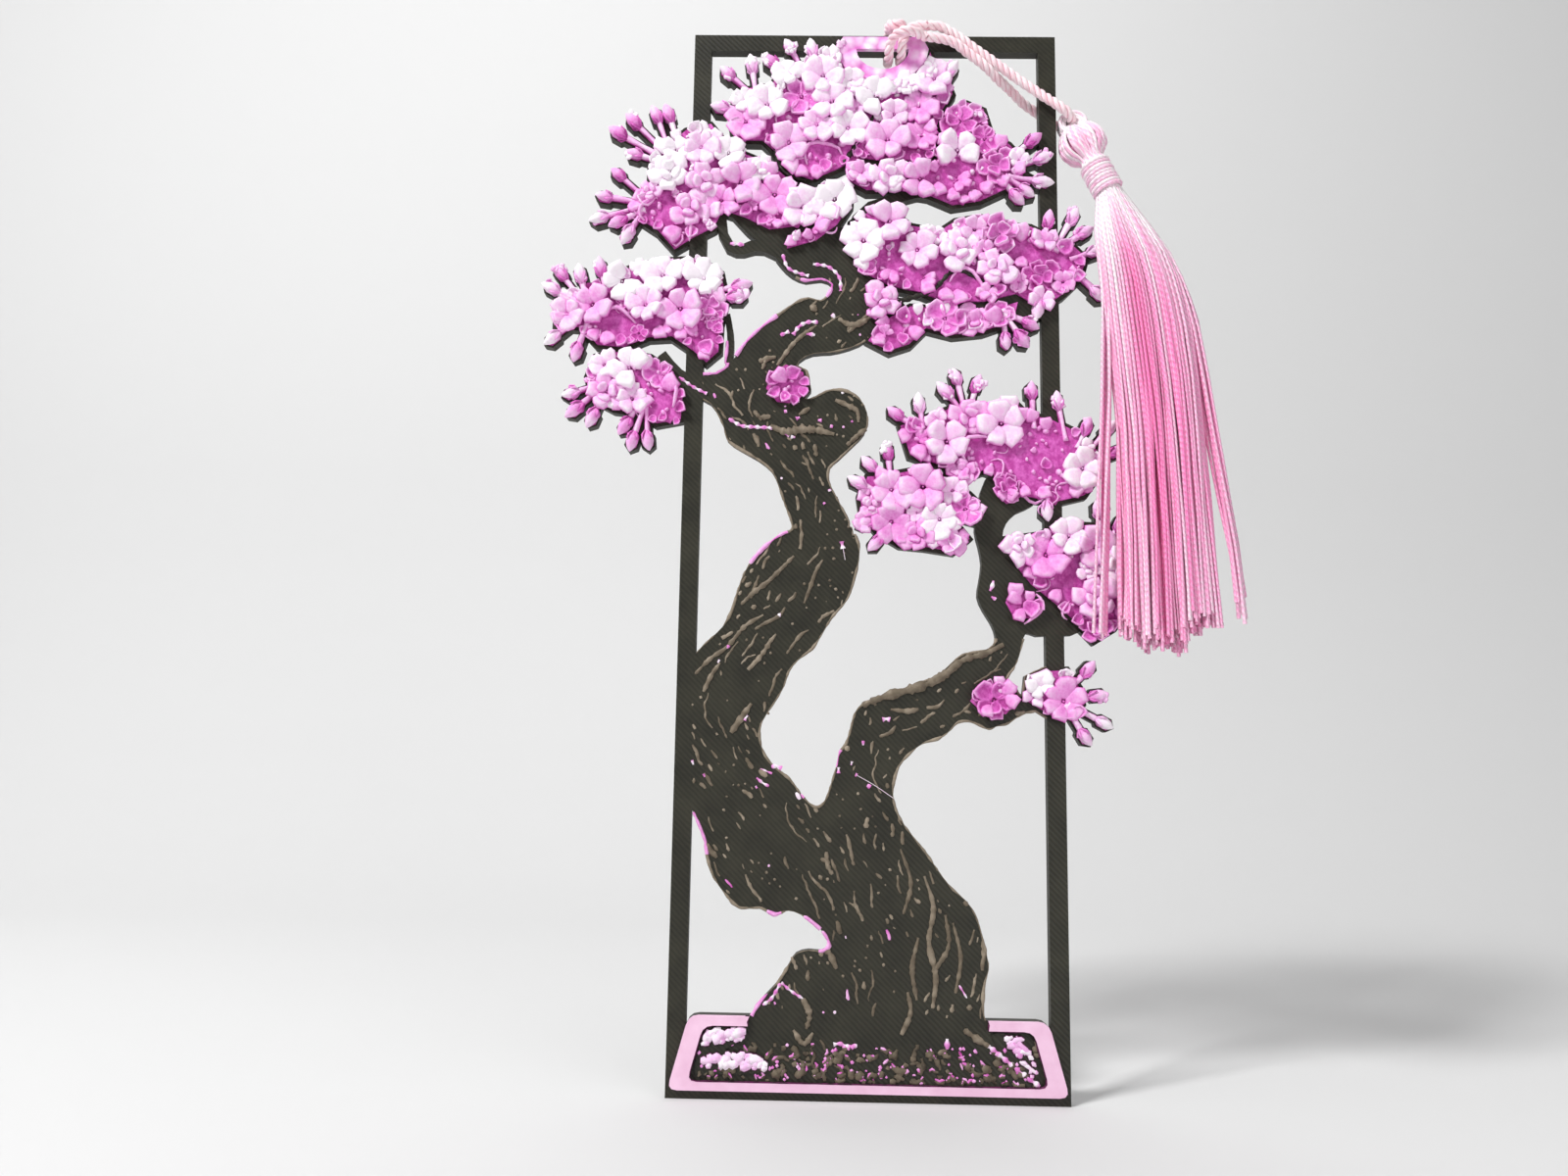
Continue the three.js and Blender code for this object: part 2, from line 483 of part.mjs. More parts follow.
// A bud on its stem.
function budSolids(tip, base, from, rise, stemRise, edge = 0) {
  const along = tip.clone().sub(base).normalize();
  const sideways = new THREE.Vector2(-along.y, along.x);
  const loop = [];
  for (let i = 0; i < bud.sides; i += 1) {
    const angle = (2 * Math.PI * i) / bud.sides;
    const alongReach = (bud.length / 2 + edge) * Math.cos(angle);
    const sideReach = (bud.width / 2 + edge) * Math.sin(angle);
    loop.push(tip.clone().addScaledVector(along, alongReach).addScaledVector(sideways, sideReach));
  }
  const stem = strip([base, tip], bud.stem + 2 * edge, bud.stem + 2 * edge, 1);
  return [plate(loop.reverse(), from, rise), plate(stem, from, stemRise)];
}

// A hole with a flat top under the top rail and a round bottom, grown by some margins.
function holeLoop(side, bottom, top) {
  const middle = (cordHole.left + cordHole.right) / 2;
  const half = (cordHole.right - cordHole.left) / 2 + side;
  const loop = [];
  for (let i = 0; i <= 10; i += 1) {
    const angle = Math.PI + (Math.PI * i) / 10;
    const z = railTop + (cordHole.depth + bottom) * Math.sin(angle);
    loop.push(new THREE.Vector2(middle + half * Math.cos(angle), z));
  }
  loop.push(new THREE.Vector2(middle + half * 0.86, railTop + top));
  loop.push(new THREE.Vector2(middle - half * 0.86, railTop + top));
  return loop;
}
const cordWay = plate(holeLoop(0, 0, 0), far, 2 * far);
const ringLoop = holeLoop(cordRing.side, cordRing.bottom, cordRing.top);
const ringPlate = plate(ringLoop, front, cordRing.rise);
addPieces("cord_ring", ringPlate.subtract(cordWay), palePink);
const ringRoom = plate(grown(ringLoop, gap), front + frame.thickness, far);

let flowerCount = 0;
for (const [name, { outline, buds }] of Object.entries(clusters)) {
  const loop = outline.map(place);
  const spots = flowerSpots(loop);
  flowerCount += spots.length;
  const relief = [plate(loop, front, blossom.sheet), ...spots.map(flower)];
  sheet.push(plate(grown(loop, backing.edge), back, frame.thickness));
  for (const [tipX, tipZ, baseX, baseZ] of buds) {
    const tip = place([tipX, tipZ]);
    const base = place([baseX, baseZ]);
    relief.push(...budSolids(tip, base, front, blossom.sheet + bud.rise, blossom.sheet));
    sheet.push(...budSolids(tip, base, back, frame.thickness, frame.thickness, bud.edge));
  }
  addPieces(`${name}_blossom`, filled(union(relief), front, blossom.sheet).subtract(ringRoom), pink);
}
sheet.push(plate(ringLoop, back, frame.thickness));

// The sheet, less the rails and the hole, cut into its pieces
let tree = filled(union(sheet), back, frame.thickness).subtract(cordWay);
for (const [x0, z0, x1, z1] of Object.values(rails)) {
  tree = tree.subtract(block(x0, -far, z0, x1, far, z1));
}
tree = tree.subtract(block(-far, -far, frame.height, far, far, frame.height + far));
for (const [name, boxes] of Object.entries(cuts)) {
  const region = union(boxes.map(([x0, z0, x1, z1]) => block(across(x0), -far, up(z0), across(x1), far, up(z1))));
  addPieces(name, tree.intersect(region), black);
  tree = tree.subtract(region);
}

// Pot rim and moss
const trunkRoom = plate(grown(trunkLoop, gap), far, 2 * far);
const rimPlate = plate(potOutline, front, potRim.rise).subtract(plate(potInner, far, 2 * far));
addPieces("pot_rim", rimPlate.subtract(trunkRoom), palePink);
const potRoom = plate(grown(potInner, -gap), far, 2 * far);
for (const [name, outline] of Object.entries(mossPatches)) {
  const patch = plate(smoothLoop(outline.map(place), 2), front, moss.rise);
  addPieces(name, patch.intersect(potRoom).subtract(trunkRoom), pink);
}

// Least gap between stretches of a tube that lie apart along it
function leastGap(curve, diameter, samples) {
  const points = curve.getSpacedPoints(samples);
  const step = curve.getLength() / samples;
  const skip = Math.ceil((3 * diameter) / step);
  let least = Infinity;
  for (let i = 0; i < points.length; i += 1) {
    for (let j = i + skip; j < points.length; j += 1) {
      least = Math.min(least, points[i].distanceTo(points[j]) - diameter);
    }
  }
  return least;
}

const spline = (points) => new THREE.CatmullRomCurve3(points.map((p) => new THREE.Vector3(...p)), false, "centripetal");

// Hitch: the cord passes through the hole and over the top rail twice, with a bar in front
const reach = cord.diameter / 2 + gap;
const hitch = {
  front: front - cordRing.rise - reach,
  back: back + reach,
  top: frame.height + reach,
  bottom: railTop - reach,
  right: 3.9,
  left: 2.1,
  exit: 7,
  exitTop: frame.height + 0.3,
};
function wrap(x, depth) {
  const soft = 0.4 * reach;
  return [
    [x, hitch.front + soft, hitch.bottom + soft], [x, -0.3, hitch.bottom - 0.1],
    [x, hitch.back - soft, hitch.bottom + soft], [x, hitch.back, hitch.bottom + 1.2],
    [x, hitch.back, hitch.top - 1.2], [x, hitch.back - soft, hitch.top - soft], [x, -0.3, hitch.top + 0.1],
    [x, hitch.front + soft + depth, hitch.top],
  ];
}
const exitDepth = hitch.front - 0.5;
const hitchLine = spline([
  [hitch.exit, exitDepth, hitch.exitTop], [5.5, hitch.front - 0.5, 150.1], [4.5, hitch.front - 0.35, 149.1],
  [4, hitch.front, 147.8], ...wrap(hitch.right, 0), [3.5, hitch.front - 0.3, 150.6],
  [3, hitch.front - 0.55, 150.3], [2.5, hitch.front - 0.3, 150.6], ...wrap(hitch.left, 0).reverse(),
  [2.2, hitch.front - 0.2, 147.7], [2.9, hitch.front - 1.6, 148.1], [4.3, hitch.front - 2.4, 148.3],
  [5.8, hitch.front - 1.75, 148.4], [hitch.exit, exitDepth, hitch.exitTop - cord.spread],
]);
addMesh("hitch_knot", tube(hitchLine, cord.diameter, cord.sides, 42), yarn);
console.log(`hitch: ${leastGap(hitchLine, cord.diameter, 300).toFixed(2)} mm to itself at the closest`);

// Tassel axis: from the eye, down and outwards, leaning forward
const radians = THREE.MathUtils.degToRad;
const eye = new THREE.Vector3(frame.width / 2 + tassel.out, -tassel.forward, frame.height - tassel.drop);
const axis = new THREE.Vector3(
  Math.sin(radians(tassel.tilt)),
  -Math.sin(radians(tassel.lean)) * Math.cos(radians(tassel.tilt)),
  -Math.cos(radians(tassel.lean)) * Math.cos(radians(tassel.tilt)),
);
const hang = new THREE.Quaternion().setFromUnitVectors(new THREE.Vector3(0, 0, -1), axis);
const hung = (geometry) => geometry.applyQuaternion(hang).translate(eye.x, eye.y, eye.z);

// Cord: out along the front, round through the tassel's eye, and back behind the right rail
const cordGap = 0.5; // between the ends of the hitch and of the cord, which meet on the real one
const frontStrand = [
  [hitch.exit + cordGap, exitDepth, hitch.exitTop], [9.4, -2.6, 150.4], [12, -2.1, 149.2], [15, -1.85, 147.1],
  [18, -1.8, 144.9], [21, -1.8, 142.6], [24, -2, 140.3], [25.6, -2.45, 138.9],
];
const backStrand = [
  [25.3, 2, 138.2], [24, 1.85, 138.9], [22.2, 1.75, 140], [20.4, 1.1, 141.3], [18.2, -0.1, 142.8],
  [16, -1.45, 144.4], [13.6, -2, 146.2], [11.2, -2.5, 147.8],
  [hitch.exit + cordGap, exitDepth, hitch.exitTop - cord.spread],
];
const pull = new THREE.Vector3(-0.85, 0, 0.53).normalize();
const eyeTurn = [-90, -60, -30, 0, 30, 60, 90].map((degrees) => {
  const along = cord.turn * (1 - Math.cos(radians(degrees)));
  const side = cord.turn * Math.sin(radians(degrees));
  return [eye.x + pull.x * along, eye.y + side, eye.z + pull.z * along];
});
const cordLine = spline([...frontStrand, ...eyeTurn, ...backStrand]);
addMesh("hanging_cord", tube(cordLine, cord.diameter, cord.sides, 34), yarn);
console.log(`cord: ${cordLine.getLength().toFixed(1)} mm long`);

// Tassel head: two lobes of folded thread, an eye ring over the cord, and the neck below
const lobeShift = (head.width - head.lobeWidth) / 2;
const crown = cord.diameter / 2 + gap;
const lobes = [-lobeShift, lobeShift].map((x) => {
  const lobe = new THREE.SphereGeometry(1, 12, 7);
  lobe.scale(head.lobeWidth / 2, head.depth / 2, head.length / 2);
  lobe.translate(x, 0, -crown / 2 - head.length / 2);
  return toSolid(hung(lobe));
});
const neckEnd = crown / 2 + head.length + neck.length;
const core = new THREE.LatheGeometry([
  new THREE.Vector2(0, -neckEnd), new THREE.Vector2(neck.radius, -neckEnd),
  new THREE.Vector2(neck.radius, -head.length), new THREE.Vector2(neck.radius + 0.5, -head.length + 1.4),
  new THREE.Vector2(0.8, -crown - 2),
  new THREE.Vector2(0, -crown - 1.6),
], 16);
core.rotateX(Math.PI / 2);
const ringShape = new THREE.Shape();
ringShape.absarc(eye.x, eye.z, head.eyeRim, 0, 2 * Math.PI);
const eyeRing = plate(ringShape.getPoints(3).slice(0, -1), eye.y + head.eyeWeb / 2, head.eyeWeb);
const eyeBore = new THREE.CylinderGeometry(crown, crown, far, 16);
eyeBore.translate(eye.x, eye.y, eye.z);
const headSolid = union([...lobes, toSolid(hung(core)), eyeRing]).subtract(toSolid(eyeBore));
addMesh("tassel_head", toGeometry(headSolid), silk);

// Neck binding: one thread wound round the neck
class Winding extends THREE.Curve {
  getPoint(t, target = new THREE.Vector3()) {
    const angle = 2 * Math.PI * binding.turns * t;
    const radius = neck.radius + gap + binding.diameter / 2;
    const length = binding.turns * binding.pitch;
    const start = neckEnd - (neck.length + length) / 2;
    target.set(radius * Math.cos(angle), radius * Math.sin(angle), -start - length * t);
    return target.applyQuaternion(hang).add(eye);
  }
}
const winding = new Winding();
addMesh("neck_binding", tube(winding, binding.diameter, binding.sides, binding.turns * binding.steps), yarn);
console.log(`binding: ${leastGap(winding, binding.diameter, 600).toFixed(2)} mm to itself at the closest`);

// Thread skirt: strands that spread from a round shoulder and hang down in front of the blossom
const pivot = eye.clone().addScaledVector(axis, neckEnd + gap + 0.1 + skirt.shoulder);
const shoulder = new THREE.SphereGeometry(skirt.shoulder, 12, 8);
shoulder.translate(pivot.x, pivot.y, pivot.z);
const levels = [0, 0.1, 0.32, 0.62, 1];
function strandAt(u, v, t, length) {
  const spread = skirt.shoulder * 0.75;
  const halfWidth = spread + (skirt.width / 2 - spread) * t ** 0.62;
  const halfDepth = spread + (skirt.depth / 2 - spread) * t;
  const endDepth = -(skirt.clear + skirt.depth / 2);
  return new THREE.Vector3(
    pivot.x + skirt.drift * t ** 0.45 + u * halfWidth,
    THREE.MathUtils.lerp(pivot.y, endDepth, t ** 0.8) + v * halfDepth,
    pivot.z - length * t,
  );
}
function strand(u, v, length) {
  const positions = [];
  const index = [];
  levels.forEach((t, level) => {
    const middle = strandAt(u, v, t, length);
    for (let i = 0; i < 3; i += 1) {
      const angle = (2 * Math.PI * i) / 3 + 0.5;
      const half = (skirt.strand / 2) * (1 - 0.25 * t);
      positions.push(middle.x + half * Math.cos(angle), middle.y + half * Math.sin(angle), middle.z);
      if (level > 0) {
        const a = 3 * (level - 1) + i;
        const b = 3 * (level - 1) + ((i + 1) % 3);
        index.push(a, b + 3, b, a, a + 3, b + 3);
      }
    }
  });
  const last = 3 * (levels.length - 1);
  index.push(0, 1, 2, last, last + 2, last + 1);
  const geometry = new THREE.BufferGeometry();
  geometry.setAttribute("position", new THREE.Float32BufferAttribute(positions, 3));
  geometry.setIndex(index);
  return toSolid(geometry);
}
const strands = [];
const golden = Math.PI * (3 - Math.sqrt(5));
for (let i = 0; i < skirt.strands; i += 1) {
  const spot = Math.sqrt((i + 0.5) / skirt.strands);
  const length = skirt.length * (1 - 0.05 * Math.abs(Math.sin(i * 2.1)));
  strands.push(strand(spot * Math.cos(i * golden), spot * Math.sin(i * golden), length));
}
addPieces("thread_skirt", union([toSolid(shoulder), ...strands]), silk);

const left = tree.decompose().filter((body) => body.volume() > 0.4).length;
console.log(`${flowerCount} flowers, ${bookmark.children.length} pieces, ${left} bodies of the sheet in no piece`);

export default bookmark;
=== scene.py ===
import json
import random
from math import atan2, copysign, cos, exp, hypot, pi, radians, sin, sqrt, tau

import bmesh
import bpy
import numpy as np
from mathutils import Euler, Matrix, Vector, noise
from mathutils.bvhtree import BVHTree


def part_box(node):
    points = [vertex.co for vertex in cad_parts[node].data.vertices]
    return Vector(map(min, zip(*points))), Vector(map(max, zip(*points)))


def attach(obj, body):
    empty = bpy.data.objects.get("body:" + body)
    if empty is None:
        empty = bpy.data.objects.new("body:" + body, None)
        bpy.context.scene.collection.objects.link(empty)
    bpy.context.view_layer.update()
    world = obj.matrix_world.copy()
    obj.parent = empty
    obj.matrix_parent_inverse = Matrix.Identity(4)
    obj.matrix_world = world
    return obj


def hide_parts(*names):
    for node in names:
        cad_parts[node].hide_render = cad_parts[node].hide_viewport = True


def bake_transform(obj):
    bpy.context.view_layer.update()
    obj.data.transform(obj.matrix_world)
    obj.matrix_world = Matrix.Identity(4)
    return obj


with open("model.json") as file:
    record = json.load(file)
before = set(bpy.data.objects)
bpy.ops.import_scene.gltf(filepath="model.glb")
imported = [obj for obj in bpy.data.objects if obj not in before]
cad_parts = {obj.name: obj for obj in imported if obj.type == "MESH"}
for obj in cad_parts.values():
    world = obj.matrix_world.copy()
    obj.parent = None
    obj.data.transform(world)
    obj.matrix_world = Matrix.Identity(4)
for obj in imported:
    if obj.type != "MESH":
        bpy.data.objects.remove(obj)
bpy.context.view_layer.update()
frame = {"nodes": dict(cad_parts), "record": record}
nodes = frame["nodes"]
mm = 0.001
face = -0.8  # the sheet's front, which faces -Y
nearly = 2e-5  # levels that differ by less are the same


def linked(name, data):
    made = bpy.data.objects.new(name, data)
    bpy.context.scene.collection.objects.link(made)
    return made


# Camera: it stands where the photograph was taken from, 16 cm in front of the frame
camera = {"place": (-9.14, -162.0, 45.66), "right": (0.9997, 0.0155, 0.0166), "down": (0.0144, 0.1350, -0.9907),
          "lens": 27, "sensor": 36, "near": 0.01, "far": 20}
lensData = bpy.data.cameras.new("camera")
lensData.lens, lensData.sensor_width = camera["lens"], camera["sensor"]
lensData.clip_start, lensData.clip_end = camera["near"], camera["far"]
cameraObject = linked("camera", lensData)
bpy.context.scene.camera = cameraObject
right = Vector(camera["right"]).normalized()
upward = -Vector(camera["down"])
upward = (upward - upward.dot(right) * right).normalized()
turned = Matrix((right, upward, right.cross(upward))).transposed()
cameraObject.matrix_world = Matrix.Translation(Vector(camera["place"]) * mm) @ turned.to_4x4()


# Small helpers for node trees
class Value:
    # a socket that can be used in sums, which then add their Math nodes
    def __init__(self, graph, socket):
        self.graph, self.socket = graph, socket

    def maths(self, operation, *values):
        return self.graph.add("ShaderNodeMath", {"operation": operation}, dict(enumerate(values)))

    def __gt__(self, other):
        return self.maths("GREATER_THAN", self, other)

    def __lt__(self, other):
        return self.maths("LESS_THAN", self, other)

    def clamped(self):
        return self.graph.add("ShaderNodeClamp", {}, {0: self})


for sign, operation in (("add", "ADD"), ("sub", "SUBTRACT"), ("mul", "MULTIPLY"), ("truediv", "DIVIDE")):
    setattr(Value, f"__{sign}__", lambda value, other, kind=operation: value.maths(kind, value, other))
    setattr(Value, f"__r{sign}__", lambda value, other, kind=operation: value.maths(kind, other, value))
for operation in ("sine", "cosine", "absolute"):
    setattr(Value, operation, lambda value, kind=operation.upper(): value.maths(kind, value))


class Graph:
    def __init__(self, tree):
        self.tree = tree

    def add(self, kind, settings=None, values=None, out=0):
        made = self.tree.nodes.new(kind)
        for key, setting in (settings or {}).items():
            if key == "stops":
                while len(made.color_ramp.elements) < len(setting):
                    made.color_ramp.elements.new(0.5)
                for element, (place, colour) in zip(made.color_ramp.elements, setting):
                    element.position, element.color = place, (*colour, 1)
            else:
                setattr(made, key, setting)
        for key, value in (values or {}).items():
            if isinstance(value, Value):
                self.tree.links.new(value.socket, made.inputs[key])
            else:
                made.inputs[key].default_value = value
        return Value(self, made.outputs[out])

    def leave(self, kind, value, made):
        # joins a value to the tree's last node and hands over what the tree makes
        self.tree.links.new(value.socket, self.tree.nodes.new(kind).inputs[0])
        return made


class Finish(Graph):
    def __init__(self, name):
        self.material = bpy.data.materials.new(name)
        self.material.use_nodes = True
        super().__init__(self.material.node_tree)
        self.tree.nodes.clear()
        self.place = self.add("ShaderNodeTexCoord", {}, {}, "Object")
        split = self.tree.nodes.new("ShaderNodeSeparateXYZ")
        self.tree.links.new(self.place.socket, split.inputs[0])
        self.x, self.y, self.z = (Value(self, split.outputs[i]) for i in range(3))

    def attribute(self, name):
        return self.add("ShaderNodeAttribute", {"attribute_name": name}, {}, "Fac")

    def noise(self, size, detail=2.0, roughness=0.5):
        values = {"Vector": self.place, "Scale": 1 / (size * mm), "Detail": detail, "Roughness": roughness}
        return self.add("ShaderNodeTexNoise", {}, values, "Fac")

    def stripes(self, along, pitch):
        return (along * (tau / (pitch * mm))).sine()

    def ramp(self, value, stops):
        return self.add("ShaderNodeValToRGB", {"stops": stops}, {0: value})

    def mix(self, factor, one, two):
        return self.add("ShaderNodeMix", {"data_type": "RGBA"}, {0: factor, 6: (*one, 1), 7: two}, 2)

    def bump(self, height, distance, strength=1.0, after=None):
        values = {"Height": height, "Distance": distance * mm, "Strength": strength}
        if after:
            values["Normal"] = after
        return self.add("ShaderNodeBump", {}, values)

    def shade(self, colour, roughness, normal=None, specular=0.5, sheen=(0, 0.5)):
        values = {"Base Color": colour, "Roughness": roughness, "Specular IOR Level": specular,
                  "Sheen Weight": sheen[0], "Sheen Roughness": sheen[1]}
        if normal:
            values["Normal"] = normal
        shader = self.add("ShaderNodeBsdfPrincipled", {}, values)
        return self.leave("ShaderNodeOutputMaterial", shader, self.material)


class Shaper(Graph):
    def __init__(self, name, inputs):
        super().__init__(bpy.data.node_groups.new(name, "GeometryNodeTree"))
        sockets = [("Geometry", "Geometry", "INPUT"), *((title, kind, "INPUT") for title, kind in inputs.items()),
                   ("Geometry", "Geometry", "OUTPUT")]
        for title, kind, way in sockets:
            self.tree.interface.new_socket(title, in_out=way, socket_type="NodeSocket" + kind)
        entry = self.tree.nodes.new("NodeGroupInput")
        self.given = {socket.name: Value(self, socket) for socket in entry.outputs if socket.name}

    def attribute(self, name, kind="FLOAT"):
        return self.add("GeometryNodeInputNamedAttribute", {"data_type": kind}, {"Name": name})

    def vectors(self, operation, one, two):
        values = {0: one, "Scale" if operation == "SCALE" else 1: two}
        return self.add("ShaderNodeVectorMath", {"operation": operation}, values)

    def end(self, geometry):
        real = self.add("GeometryNodeRealizeInstances", {}, {0: geometry})
        painted = self.add("GeometryNodeSetMaterial", {}, {"Geometry": real, "Material": self.given["Material"]})
        return self.leave("NodeGroupOutput", painted, self.tree)


# Small helpers for pieces
def smooth(data):
    data.polygons.foreach_set("use_smooth", [True] * len(data.polygons))
    return data


def newMesh(name, points, faces=(), edges=(), attributes=None):
    made = bpy.data.meshes.new(name)
    made.from_pydata([tuple(float(c) * mm for c in p) for p in points], list(edges), [tuple(f) for f in faces])
    for title, values in (attributes or {}).items():
        values = np.asarray(values, dtype=np.float32)
        vector = values.ndim == 2
        layer = made.attributes.new(title, "FLOAT_VECTOR" if vector else "FLOAT", "POINT")
        layer.data.foreach_set("vector" if vector else "value", values.ravel())
    made.update()
    return made


def paint(piece, material):
    piece.data.materials.clear()
    piece.data.materials.append(material)
    return piece


def shaped(name, source, tree, values):
    # runs a tree of geometry nodes on a mesh and keeps the result as a plain piece
    carrier = linked(name + "Source", source)
    modifier = carrier.modifiers.new("shape", "NODES")
    modifier.node_group = tree
    for item in tree.interface.items_tree:
        if item.in_out == "INPUT" and item.name in values:
            modifier[item.identifier] = values[item.name]
    bpy.context.view_layer.update()
    evaluated = carrier.evaluated_get(bpy.context.evaluated_depsgraph_get())
    result = smooth(bpy.data.meshes.new_from_object(evaluated))
    result.name = name
    bpy.data.objects.remove(carrier)
    return linked(name, result)


def settle(piece, body, standsFor=None):
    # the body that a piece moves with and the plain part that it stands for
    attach(piece, body)
    if standsFor:
        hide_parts(standsFor)
    return piece


def curveThrough(points, perSpan=12):
    # the same smooth line through the points as the model's own cord follows
    p = [np.array(q, float) for q in points]
    p = [2 * p[0] - p[1], *p, 2 * p[-1] - p[-2]]
    line = []
    for a, b, c, d in zip(p, p[1:], p[2:], p[3:]):
        ab, bc, cd = (max(float(((v - u) ** 2).sum()) ** 0.25, 1e-4) for u, v in ((a, b), (b, c), (c, d)))
        start = ((b - a) / ab - (c - a) / (ab + bc) + (c - b) / bc) * bc
        stop = ((c - b) / bc - (d - b) / (bc + cd) + (d - c) / cd) * bc
        for i in range(perSpan):
            t = i / perSpan
            line.append(b + start * t + (3 * (c - b) - 2 * start - stop) * t ** 2
                        + (2 * (b - c) + start + stop) * t ** 3)
    return [*line, p[-2]]


def evenly(line, step):
    line = np.array(line)
    along = np.concatenate([[0], np.cumsum(np.linalg.norm(np.diff(line, axis=0), axis=1))])
    marks = np.linspace(0, along[-1], max(2, int(round(along[-1] / step)) + 1))
    return np.stack([np.interp(marks, along, column) for column in line.T], 1)


def wave(x, y, z):
    return noise.noise(Vector((x, y, z)))


# Cords: a doubled cord, hitched over the top rail and looped through the tassel's eye
def makeYarn():
    f = Finish("twistedYarn")
    twistShade, fibre = f.attribute("crease"), f.noise(0.12, 3, 0.6)
    body = f.ramp(f.noise(1.8, 2), [(0.35, (0.96, 0.67, 0.73)), (0.65, (0.99, 0.84, 0.87))])
    # painted shade: the yarn turns deep pink towards the creases between its plies
    colour = f.mix((twistShade * 1.2 + fibre * 0.4 - 0.12).clamped(), (0.76, 0.30, 0.40), body)
    return f.shade(colour, 0.75, f.bump(fibre, 0.05, 0.6), sheen=(0.2, 0.5))


yarn = makeYarn()
cordForm = {"diameter": 1.4, "ply": 0.36, "offset": 0.36, "pitch": 3.4, "step": 0.13, "spacing": 0.2}


def twistedTree():
    g = Shaper("twistedCord", {"Ply Radius": "Float", "Offset": "Float", "Pitch": "Float", "Step": "Float",
                               "Material": "Material"})
    line = g.add("GeometryNodeMeshToCurve", {}, {0: g.given["Geometry"]})
    line = g.add("GeometryNodeResampleCurve", {"mode": "LENGTH"}, {"Curve": line, "Length": g.given["Step"]})
    along = g.add("GeometryNodeSplineParameter", {}, {}, "Length")
    outward = g.add("GeometryNodeInputNormal")
    sideways = g.vectors("CROSS_PRODUCT", g.add("GeometryNodeInputTangent"), outward)
    circle = g.add("GeometryNodeCurvePrimitiveCircle", {}, {"Resolution": 8, "Radius": g.given["Ply Radius"]})
    joined = g.tree.nodes.new("GeometryNodeJoinGeometry")
    for ply in range(3):
        angle = along * tau / g.given["Pitch"] + ply * tau / 3
        shift = g.vectors("ADD", g.vectors("SCALE", outward, angle.cosine() * g.given["Offset"]),
                          g.vectors("SCALE", sideways, angle.sine() * g.given["Offset"]))
        strand = g.add("GeometryNodeStoreNamedAttribute", {"data_type": "FLOAT_VECTOR", "domain": "POINT"},
                       {"Geometry": line, "Name": "axis", "Value": g.add("GeometryNodeInputPosition")})
        strand = g.add("GeometryNodeSetPosition", {}, {"Geometry": strand, "Offset": shift})
        tube = g.add("GeometryNodeCurveToMesh", {}, {"Curve": strand, "Profile Curve": circle, "Fill Caps": True})
        g.tree.links.new(tube.socket, joined.inputs[0])
    # how far a point stands out from the cord's own line, for the painted shade in the creases between the plies
    away = g.add("ShaderNodeVectorMath", {"operation": "DISTANCE"},
                 {0: g.add("GeometryNodeInputPosition"), 1: g.attribute("axis", "FLOAT_VECTOR")}, "Value")
    crease = (away / (g.given["Ply Radius"] + g.given["Offset"]) - 0.55) * 2.4
    return g.end(g.add("GeometryNodeStoreNamedAttribute", {"data_type": "FLOAT", "domain": "POINT"},
                       {"Geometry": Value(g, joined.outputs[0]), "Name": "crease", "Value": crease}))


twisted = twistedTree()


def cordPiece(name, line):
    source = newMesh(name, line, edges=[(i, i + 1) for i in range(len(line) - 1)])
    return shaped(name, source, twisted, {
        "Ply Radius": cordForm["ply"] * mm, "Offset": cordForm["offset"] * mm, "Pitch": cordForm["pitch"] * mm,
        "Step": cordForm["step"] * mm, "Material": yarn})


knot = {"front": -2.45, "back": 1.7, "high": 150.9, "low": 146.6, "right": 3.9, "left": 2.1, "soft": 0.36}
front, back, soft = knot["front"], knot["back"], knot["soft"]
deep = front - 0.5  # where the two strands leave the hitch


def wrapPoints(x):
    low, high = knot["low"], knot["high"]
    return [(x, front + soft, low + soft), (x, -0.3, low - 0.1), (x, back - soft, low + soft),
            (x, back, low + 1.2), (x, back, high - 1.2), (x, back - soft, high - soft), (x, -0.3, high + 0.1),
            (x, front + soft, high)]


hitchRoute = [
    (7.5, deep, 150.3), (7, deep, 150.3), (5.5, deep, 150.1), (4.5, front - 0.35, 149.1), (4, front, 147.8),
    *wrapPoints(knot["right"]), (3.5, front - 0.3, 150.6), (3, front - 0.55, 150.3), (2.5, front - 0.3, 150.6),
    *wrapPoints(knot["left"])[::-1], (2.2, front - 0.2, 147.7), (2.9, front - 1.6, 148.1),
    (4.3, front - 2.4, 148.3), (5.8, front - 1.75, 148.4), (7, deep, 148.6), (7.5, deep, 148.6)]
hitch = cordPiece("hitchedCord", evenly(curveThrough(hitchRoute), cordForm["spacing"]))
settle(hitch, "bookmark", "hitch_knot")

eye = Vector((28.85, -0.3, 136.6))
pull = Vector((-0.85, 0, 0.53)).normalized()
turnRadius = 2.4
frontStrand = [(7.5, deep, 150.3), (9.4, -2.6, 150.4), (12, -2.1, 149.2), (15, -1.85, 147.1), (18, -1.8, 144.9),
               (21, -1.8, 142.6), (24, -2, 140.3), (25.6, -2.45, 138.9)]
backStrand = [(25.3, 2, 138.7), (24, 1.85, 139.7), (22.2, 1.75, 141), (20.4, 0.9, 142.3), (18.2, -0.5, 143.4),
              (16, -1.8, 144.8), (13.6, -2.05, 146.6), (11.2, -2.5, 148.1), (7.5, deep, 148.6)]
eyeTurn = []
for degrees in range(-90, 91, 30):
    along, side = turnRadius * (1 - cos(radians(degrees))), turnRadius * sin(radians(degrees))
    eyeTurn.append((eye.x + pull.x * along, eye.y + side, eye.z + pull.z * along))
cordLine = evenly(curveThrough([*frontStrand, *eyeTurn, *backStrand]), cordForm["spacing"])
loopCord = settle(cordPiece("loopedCord", cordLine), "cord", "hanging_cord")


